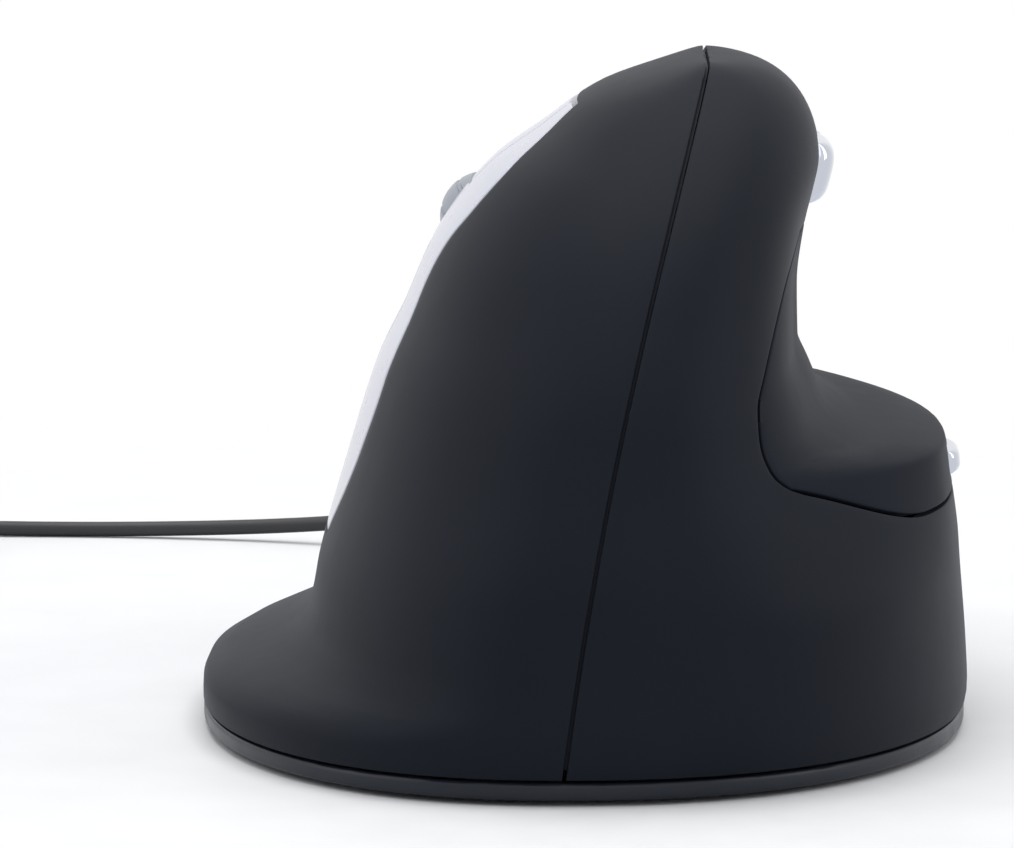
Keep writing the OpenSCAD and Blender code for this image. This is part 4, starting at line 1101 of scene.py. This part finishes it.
# Base plate with the sensor's window and the sunk screw holes
SCREW_D = 2.4
SENSOR_Y = 5
SENSOR_R = 4
SPINE_REAR = -BODY_L / 2 + 12
SPINE_FRONT = BODY_L / 2 - 22
LEG_W = 6
FOOT_L = 10
BOARD_SPACE = 2
BOARD_X = 21
POST_INSET = 4
POST_H = 3
FRAME_SCREW_X = 9
BASE_STEP = 2
BASE_RIM = 0.45
POST_RIM = 0.15
POST_GRIP = 0.1
rear_foot_y = SPINE_REAR + LEG_W / 2
front_foot_y = SPINE_FRONT - LEG_W / 2
board_rear = rear_foot_y + FOOT_L / 2 + BOARD_SPACE
board_front = front_foot_y - FOOT_L / 2 - BOARD_SPACE
frame_screws = [(SEAM_FOOT + s * FRAME_SCREW_X, y) for s in (-1, 1) for y in (rear_foot_y, front_foot_y)]
board_posts = [
    (SEAM_FOOT + s * (BOARD_X - POST_INSET), y)
    for s in (-1, 1)
    for y in (board_rear + POST_INSET, board_front - POST_INSET)
]
base_turns = range(-90, 90, BASE_STEP)
base_outline = [body_point(THUMB_SIDE, a, BASE_TOP).xy for a in base_turns]
base_outline += [body_point(FINGER_SIDE, -a, BASE_TOP).xy for a in base_turns]
base_holes = [ring_of(SEAM_FOOT, SENSOR_Y, SENSOR_R)]
base_holes += [ring_of(x, y, SCREW_D) for x, y in frame_screws]
base = filled(base_outline, base_holes, BASE_T, BASE_RIM)
place_flat(base, "base_plate_tray", (base_black, "housing", "base_black", ["base_plate"]), at=(0, 0, FOOT_T))
for k, (x, y) in enumerate(board_posts):
    post_hole = ring_of(0, 0, SCREW_D / 2 - POST_GRIP)
    post = filled(ring_of(0, 0, SCREW_D), [post_hole], POST_H, POST_RIM)
    place_flat(post, f"board_post_{k + 1}", (base_black, "housing", "base_black"), at=(x, y, BASE_TOP))


# Tie round the coil
TIE_W = 4
TIE_ROUND = 1.2
TIE_INNER_ROUND = 0.6
TIE_RIM = 0.15
TOP_LAYER = 3
tie_low = (COIL_X + COIL_INNER_R - CORD_R - 3 * SEAT_GAP, TIE_T)
tie_top = COIL_LOW + TOP_LAYER * COIL_STEP + CORD_R + SEAT_GAP
tie_high = (COIL_X + COIL_OUTER_R + CORD_R + SEAT_GAP, tie_top)
tie_outer = box_loop((tie_low[0] - TIE_T, 0), (tie_high[0] + TIE_T, tie_high[1] + TIE_T), TIE_ROUND)
tie = filled(tie_outer, [box_loop(tie_low, tie_high, TIE_INNER_ROUND)], TIE_W, TIE_RIM)
tie_piece = place_flat(
    tie, "cord_tie_strap", (wheel_rubber, "housing", "switch_black", ["cord_tie"]), True,
    (0, COIL_Y + TIE_W / 2, 0),
)


# Plug: rounded grip and folded metal shell round the tongue
GRIP_ROUND = 2
GRIP_RIM = 0.7
PLUG_W = 12
PLUG_T = 4.5
PLUG_L = 15
PLUG_WALL = 0.4
PLUG_ROUND = 0.5
PLUG_INNER_ROUND = 0.2
PLUG_RIM = 0.08
grip_outline = box_loop((-GRIP_W / 2, -GRIP_T / 2), (GRIP_W / 2, GRIP_T / 2), GRIP_ROUND)
grip = filled(grip_outline, [], GRIP_L, GRIP_RIM)
grip_piece = place_flat(
    grip, "plug_grip_boot", (cord_black, "housing", "cord_black", ["plug_grip"]), True,
    (coil_end.x, grip_y, PLUG_Z),
)
shell_outer = box_loop((-PLUG_W / 2, -PLUG_T / 2), (PLUG_W / 2, PLUG_T / 2), PLUG_ROUND)
shell_inner = box_loop(
    (-PLUG_W / 2 + PLUG_WALL, -PLUG_T / 2 + PLUG_WALL),
    (PLUG_W / 2 - PLUG_WALL, PLUG_T / 2 - PLUG_WALL),
    PLUG_INNER_ROUND,
)
plug_tube = filled(shell_outer, [shell_inner], PLUG_L, PLUG_RIM)
shell_piece = place_flat(
    plug_tube, "plug_shell_tube", (steel, "housing", "plug_metal", ["plug_shell"]), True,
    (coil_end.x, plug_y, PLUG_Z),
)


# Materials of the pieces that keep their built form
KEPT_LOOKS = {
    "glide_feet": glide_grey,
    "inner_frame": inner_grey,
    "index_lever": inner_grey,
    "middle_lever": inner_grey,
    "hinge_pins": steel,
    "click_switches": switch_black,
    "wheel_hub": wheel_grey,
    "wheel_axle": steel,
    "wheel_carrier": inner_grey,
    "scroll_encoder": switch_black,
    "wheel_switch": switch_black,
    "thumb_board": board_green,
    "thumb_switches": switch_black,
    "speed_board": board_green,
    "speed_switch": switch_black,
    "main_board": board_green,
    "optical_sensor": switch_black,
    "sensor_lens": lens_clear,
    "controller_chip": switch_black,
    "board_connector": ivory,
    "cord_anchor": inner_grey,
    "lead_wires": wire_red,
    "cord_tail": cord_black,
    "case_screws": steel,
    "board_screws": steel,
    "plug_tongue": tongue_white,
}
for name, material in KEPT_LOOKS.items():
    kept = nodes[name].data
    kept.materials.clear()
    kept.materials.append(material)


# Floor, background and studio light
FLOOR_HALF = 3.0
floor_mesh = bmesh.new()
bmesh.ops.create_grid(floor_mesh, x_segments=1, y_segments=1, size=FLOOR_HALF)
floor_data = bpy.data.meshes.new("studio_floor")
floor_mesh.to_mesh(floor_data)
floor_mesh.free()
floor_look = moulded("floor_white", grey(0.86), grey(0.9), (0.6, 0.7), 300, 0.00002)
floor_data.materials.append(floor_look)


def seen_rays(tree):
    """1 for rays from the camera, or by way of a mirror or clear piece."""
    light_path = tree.nodes.new("ShaderNodeLightPath")
    result = light_path.outputs["Is Camera Ray"]
    for other in ("Is Glossy Ray", "Is Transmission Ray"):
        either = tree.nodes.new("ShaderNodeMath")
        either.operation = "MAXIMUM"
        tree.links.new(result, either.inputs[0])
        tree.links.new(light_path.outputs[other], either.inputs[1])
        result = either.outputs["Value"]
    return result


# The floor is seen as plain white away from the object, and keeps the shadow near it
SHADOW_R = 0.13
WHITE_R = 0.24
floor_tree = floor_look.node_tree
floor_shader = floor_tree.nodes["Principled BSDF"]
floor_place = floor_tree.nodes.new("ShaderNodeTexCoord")
floor_reach = floor_tree.nodes.new("ShaderNodeVectorMath")
floor_reach.operation = "LENGTH"
floor_tree.links.new(floor_place.outputs["Object"], floor_reach.inputs[0])
floor_fade = floor_tree.nodes.new("ShaderNodeMapRange")
floor_fade.interpolation_type = "SMOOTHSTEP"
floor_fade.inputs["From Min"].default_value = SHADOW_R
floor_fade.inputs["From Max"].default_value = WHITE_R
floor_tree.links.new(floor_reach.outputs["Value"], floor_fade.inputs["Value"])
floor_share = floor_tree.nodes.new("ShaderNodeMath")
floor_share.operation = "MULTIPLY"
floor_tree.links.new(floor_fade.outputs["Result"], floor_share.inputs[0])
floor_tree.links.new(seen_rays(floor_tree), floor_share.inputs[1])
plain_white = floor_tree.nodes.new("ShaderNodeEmission")
plain_white.inputs["Strength"].default_value = 1
floor_mix = floor_tree.nodes.new("ShaderNodeMixShader")
floor_tree.links.new(floor_share.outputs["Value"], floor_mix.inputs["Fac"])
floor_tree.links.new(floor_shader.outputs["BSDF"], floor_mix.inputs[1])
floor_tree.links.new(plain_white.outputs["Emission"], floor_mix.inputs[2])
floor_tree.links.new(floor_mix.outputs["Shader"], floor_tree.nodes["Material Output"].inputs["Surface"])
floor = bpy.data.objects.new("studio_floor", floor_data)
bpy.context.scene.collection.objects.link(floor)


def soft_light(name, place, aim, size, power, tint=(1, 1, 1)):
    light_data = bpy.data.lights.new(name, "AREA")
    light_data.shape = "RECTANGLE"
    light_data.size = size[0]
    light_data.size_y = size[1]
    light_data.energy = power
    light_data.color = tint
    light = bpy.data.objects.new(name, light_data)
    light.location = place
    light.rotation_mode = "QUATERNION"
    light.rotation_quaternion = (Vector(aim) - Vector(place)).to_track_quat("-Z", "Y")
    bpy.context.scene.collection.objects.link(light)


soft_light("top_panel", (0.0, 0.1, 0.9), (0, 0, 0.03), (0.9, 0.9), 6)
soft_light("left_panel", (-0.8, -0.1, 0.5), (0, 0, 0.04), (0.6, 0.8), 2)
soft_light("right_panel", (0.8, -0.15, 0.45), (0, 0, 0.04), (0.5, 0.8), 2)
soft_light("heel_panel", (0.1, -0.95, 0.5), (0, 0, 0.03), (0.8, 0.5), 0.8)

AMBIENT_TINT = (0.9, 0.93, 1, 1)
AMBIENT = 0.4
world = bpy.data.worlds.new("white_studio")
bpy.context.scene.world = world
world.use_nodes = True
sky = world.node_tree
background = sky.nodes["Background"]
background.inputs["Color"].default_value = AMBIENT_TINT
background.inputs["Strength"].default_value = AMBIENT
seen_white = sky.nodes.new("ShaderNodeBackground")
seen_white.inputs["Color"].default_value = (1, 1, 1, 1)
seen_white.inputs["Strength"].default_value = 1
chosen = sky.nodes.new("ShaderNodeMixShader")
sky.links.new(seen_rays(sky), chosen.inputs["Fac"])
sky.links.new(background.outputs["Background"], chosen.inputs[1])
sky.links.new(seen_white.outputs["Background"], chosen.inputs[2])
sky.links.new(chosen.outputs["Shader"], sky.nodes["World Output"].inputs["Surface"])
bpy.context.scene.view_settings.view_transform = "Standard"
